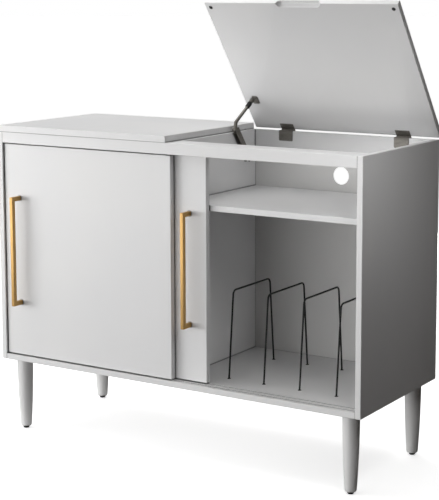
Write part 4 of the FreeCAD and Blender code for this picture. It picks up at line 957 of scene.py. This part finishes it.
# %% [markdown]
# The bracket is an angle: a flange on the lid and an ear that stands off it, with a rounded end round the
# pivot pin. Two pan-head screws hold it.

# %% Stay bracket
EAR_GAP, EAR_RADIUS, EAR_LAP = 0.2, 5.4, 0.4
EAR_X = ARM_X + ARM_STEP + ARM_THICK + EAR_GAP
FLANGE_WIDE, FLANGE_LONG, FLANGE_SCREW_X, FLANGE_SCREW_GAP = 18.0, 26.0, 10.8, 15.6
NEAR_CORNER, FAR_CORNER = 0.5, 4
flange_x = EAR_X + FLANGE_WIDE
front, back = -STAY_REACH - FLANGE_LONG / 2, -STAY_REACH + FLANGE_LONG / 2
flange_plate = plate(rounded([(EAR_X, front, NEAR_CORNER), (flange_x, front, FAR_CORNER),
                              (flange_x, back, FAR_CORNER), (EAR_X, back, NEAR_CORNER)]),
                     PLATE_THICK, "XY", LID_UNDER - PLATE_THICK)
bracket_z = LID_UNDER - STAY_DROP
front, back = -STAY_REACH - EAR_RADIUS, -STAY_REACH + EAR_RADIUS
low, high, corner = bracket_z - EAR_RADIUS, LID_UNDER - EAR_LAP, EAR_RADIUS - 0.1
ear_plate = plate(rounded([(front, high, 0), (front, low, corner), (back, low, corner), (back, high, 0)], 8),
                  PLATE_THICK, "YZ", EAR_X)
bracket = join(ease(flange_plate, PLATE_EDGE), ease(ear_plate, PLATE_EDGE),
               rivet(EAR_X, -STAY_REACH, bracket_z, ARM_THICK + 2 * EAR_GAP, -1))
piece("bracket", moved(bracket, OPEN_LID), "lid", "dark_steel", "stay_bracket")
repeat("bracket_screws", pan_head(*STAY_SCREW),
       [OPEN_LID @ Vector((EAR_X + FLANGE_SCREW_X, -STAY_REACH + FLANGE_SCREW_GAP * half,
                           LID_UNDER - PLATE_THICK)) for half in (-0.5, 0.5)], OUT_OF_LID,
       "lid", "dark_steel", "stay_bracket_screws", spin=FULL_TURN)

# %% [markdown]
# ## Bar handles
#
# A handle is a square brass bar with two feet, mitred and welded, then brushed. One outline of the whole
# handle is thickened across, and its edges are eased with a small radius.

# %% Handles
BAR, FOOT, OUTER_ROUND, INNER_ROUND = 12.0, 12.0, 0.9, 0.6
for door in ("front_door", "rear_door"):
    low, high = box_mm(door + "_handle")
    outline = [(low.y, low.z, OUTER_ROUND), (low.y, high.z, OUTER_ROUND), (high.y, high.z, 0),
               (high.y, high.z - FOOT, 0), (low.y + BAR, high.z - FOOT, INNER_ROUND),
               (low.y + BAR, low.z + FOOT, INNER_ROUND), (high.y, low.z + FOOT, 0), (high.y, low.z, 0)]
    shape = ease(plate(rounded(outline, 3), high.x - low.x, "YZ", low.x), 0.7, steps=3, angle=50)
    piece(door + "_pull", shape, door, "brushed_brass", door + "_handle")

# %% Handle screws
HANDLE_SCREW = (3.9, 2.2, 2.0, 21.0)  # head radius, head height, shank radius, length
HEAD_INSET, HEAD_DEEP = 4, 2.3  # the head's middle and underside, from the edges of its CAD box
for door in ("front_door", "rear_door"):
    low, high = box_mm(door + "_handle_screws")
    screw_places = [((low.x + high.x) / 2, high.y - HEAD_DEEP, level)
                    for level in (low.z + HEAD_INSET, high.z - HEAD_INSET)]
    repeat(door + "_pull_screws", pan_head(*HANDLE_SCREW), screw_places, BACKWARDS, door, "plain_steel",
           door + "_handle_screws", spin=FULL_TURN)

# %% [markdown]
# ## Wire dividers
#
# Each divider is one length of wire, bent twice over a former and pushed into two holes. It follows a path,
# so Geometry Nodes make it: the path's two corners are filleted, a circle is swept along it, and the result
# gets its finish. The same tree makes all four.

# %% Bent-wire tree
BEND_STEPS, WIRE_SIDES = 12, 20
bent_wire = Tree("bent_wire", {"Bend Radius": "Float", "Wire Radius": "Float", "Finish": "Material"})
line = bent_wire.add("GeometryNodeMeshToCurve", None, {"Mesh": bent_wire.given["Geometry"]})
bent = bent_wire.add("GeometryNodeFilletCurve", {"mode": "POLY"},
                     {"Curve": line, "Radius": bent_wire.given["Bend Radius"], "Limit Radius": False,
                      "Count": BEND_STEPS})
ring = bent_wire.add("GeometryNodeCurvePrimitiveCircle", None,
                     {"Resolution": WIRE_SIDES, "Radius": bent_wire.given["Wire Radius"]})
bent_wire.end(bent_wire.add("GeometryNodeCurveToMesh", None,
                            {"Curve": bent, "Profile Curve": ring, "Fill Caps": True}))

# %% Dividers
WIRE_RADIUS, BEND_RADIUS, FOOT_LIFT, LEAN = 2.5, 14.0, 0.5, math.radians(5.4)
DIVIDERS = [f"record_divider_{index}" for index in (1, 2, 3, 4)]
for divider in DIVIDERS:
    low, high = box_mm(divider)
    x = (low.x + high.x) / 2
    front_y, back_y = low.y + WIRE_RADIUS, high.y - WIRE_RADIUS
    foot_z, top_z = low.z + FOOT_LIFT, high.z - WIRE_RADIUS
    shift = (top_z - foot_z) * math.tan(LEAN)
    path = [(front_y, foot_z), (front_y + shift, top_z), (back_y - shift, top_z), (back_y, foot_z)]
    wire = drawn(divider.removeprefix("record_"), [Vector((x, y, z)) * MM for y, z in path],
                 [(0, 1), (1, 2), (2, 3)])
    bent_wire.run(wire, {"Bend Radius": BEND_RADIUS * MM, "Wire Radius": WIRE_RADIUS * MM,
                         "Finish": FINISHES["black_wire"]})
    finish(wire, "cabinet", "black_wire", divider)

# %% [markdown]
# Where a wire enters the bottom board it wears a small black collar that hides the hole.

# %% Divider collars
collar_profile = [(0, 0), (4.6, 0), (4.6, 0.5), (4.1, 1.3), (3.0, 1.6), (0, 1.6)]
COLLAR_SHIFT = WIRE_RADIUS + 0.8
DECK = round(box_mm("bottom_panel")[1].z, 3)
collar_places = [((low.x + high.x) / 2, y, DECK) for low, high in map(box_mm, DIVIDERS)
                 for y in (low.y + COLLAR_SHIFT, high.y - COLLAR_SHIFT)]
repeat("divider_collars", turned(collar_profile, 32), collar_places, UP, "cabinet", "black_wire")

# %% [markdown]
# ## Cover cap
#
# A small push-in cap hides a fitting in the top edge of the partition. It is a turned shape with a low dome.

# %% Cover cap
low, high = box_mm("partition_cap")
cap_profile = [(0, 0), (4.2, 0), (4.2, 0.4), (3.7, 1.1), (2.4, 1.5), (0, 1.6)]
repeat("cap", turned(cap_profile, 32), [((low.x + high.x) / 2, (low.y + high.y) / 2, low.z)], UP,
       "cabinet", "white_plastic", "partition_cap")

# %% [markdown]
# ## Floor
#
# The cabinet stands on a plain white floor that is large enough to reach the edge of every view. The floor
# glows a little, as a white sweep lit by its own lamps does, so that only the contact shadows show on it. A
# round white backdrop far away closes the views that are level with the floor. Both are for the eye alone:
# neither soft light nor reflections from them reach the cabinet, and the backdrop throws no shadow.

# %% Floor
FLOOR_SIZE, FLOOR_GLOW = 400.0, 0.6
BACKDROP_RADIUS, BACKDROP_HEIGHT, BACKDROP_SIDES = 60.0, 60.0, 48
WHITE, BLACK = grey(1.0), grey(0.0)

half = FLOOR_SIZE / 2
floor = drawn("floor", [(-half, -half, 0), (half, -half, 0), (half, half, 0), (-half, half, 0)],
              faces=[(0, 1, 2, 3)])
floor_paint = Finish("pale_floor")
mottle = floor_paint.noise(1.3, 3.0)
floor_paint.set(Base_Color=floor_paint.blend(mottle, grey(0.90), grey(0.92)), Emission_Color=WHITE,
                Emission_Strength=FLOOR_GLOW, Roughness=0.9, Specular_IOR_Level=0.1)

turns = [FULL_TURN * step / BACKDROP_SIDES for step in range(BACKDROP_SIDES)]
ring = [(BACKDROP_RADIUS * math.cos(turn), BACKDROP_RADIUS * math.sin(turn)) for turn in turns]
pairs = [(step, (step + 1) % BACKDROP_SIDES) for step in range(BACKDROP_SIDES)]
backdrop = drawn("backdrop", [(x, y, height) for height in (0, BACKDROP_HEIGHT) for x, y in ring],
                 faces=[(one, one + BACKDROP_SIDES, two + BACKDROP_SIDES, two) for one, two in pairs])
backdrop.visible_shadow = False
Finish("white_backdrop").set(Base_Color=BLACK, Emission_Color=WHITE, Emission_Strength=1.0, Roughness=1.0,
                             Specular_IOR_Level=0.0)

for sheet, paint in ((floor, "pale_floor"), (backdrop, "white_backdrop")):
    sheet.data.materials.append(FINISHES[paint])
    sheet.visible_diffuse = False
    sheet.visible_glossy = False
print("floor and backdrop ready")

# %% [markdown]
# ## Light
#
# The light is that of a white studio with its lamps on the left. The sky is bright above and to the left,
# and fades to a warm dark on the right and below. A low key lamp far to the left and a second one at the
# front light the doors, so the light falls off from left to right. One lamp above lights the top and one
# behind the back. A small shaped lamp draws a soft gradient down the shaded side. Two weak ones, under the
# cabinet and low on its right, stand for the light that the floor throws back on the legs.

# %% Sky
SKY_SIDE = (-0.62, -0.16, 0.77)
SKY_STRENGTH = 0.95
world = bpy.data.worlds.new("studio")
bpy.context.scene.world = world
sky = Finish("studio", world, "ShaderNodeBackground", "ShaderNodeOutputWorld")
direction = sky.node("ShaderNodeTexCoord", output="Generated")
towards = sky.node("ShaderNodeVectorMath", {"operation": "DOT_PRODUCT"}, {0: direction, 1: SKY_SIDE}, 1)
sky.set(Color=sky.blend(towards.ramp(0.2, 1.0), colour(0.020, 0.016, 0.013), WHITE), Strength=SKY_STRENGTH)
print("sky ready")


# %% Lamps
def soft_lamp(name, place, target, size, power, spread=180):
    """A rectangular lamp aimed at a place. A small spread keeps its light off what is beside that place."""
    lamp_data = bpy.data.lights.new(name, "AREA")
    lamp_data.shape = "RECTANGLE"
    lamp_data.size, lamp_data.size_y = size
    lamp_data.energy = power
    lamp_data.spread = math.radians(spread)
    lamp = placed(name, lamp_data)
    lamp.location = place
    lamp.rotation_euler = (Vector(target) - Vector(place)).to_track_quat("-Z", "Y").to_euler()
    lamp.visible_camera = False


soft_lamp("key", (-2.6, -2.0, 0.65), (0, -0.2, 0.6), (1.8, 1.0), 48)
soft_lamp("front", (-0.8, -3.6, 0.45), (0, -0.2, 0.5), (3.2, 0.8), 46)
soft_lamp("top", (-0.8, 0.5, 2.8), (-0.3, 0, 0.8), (1.8, 1.8), 31)
soft_lamp("back", (-1.4, 3.4, 0.35), (0, 0.2, 0.6), (2.4, 0.6), 45)
soft_lamp("bounce", (-0.15, 0, 0.01), (-0.15, 0, 1), (1.0, 0.5), 0.6)
soft_lamp("side", (1.02, -0.5, 1.25), (0.58, 0.06, 0.62), (0.3, 0.3), 1.05, 100)
soft_lamp("fill", (1.7, -1.2, 0.06), (0.35, 0, 0.08), (0.5, 0.1), 0.03, 30)
print("lamps ready")
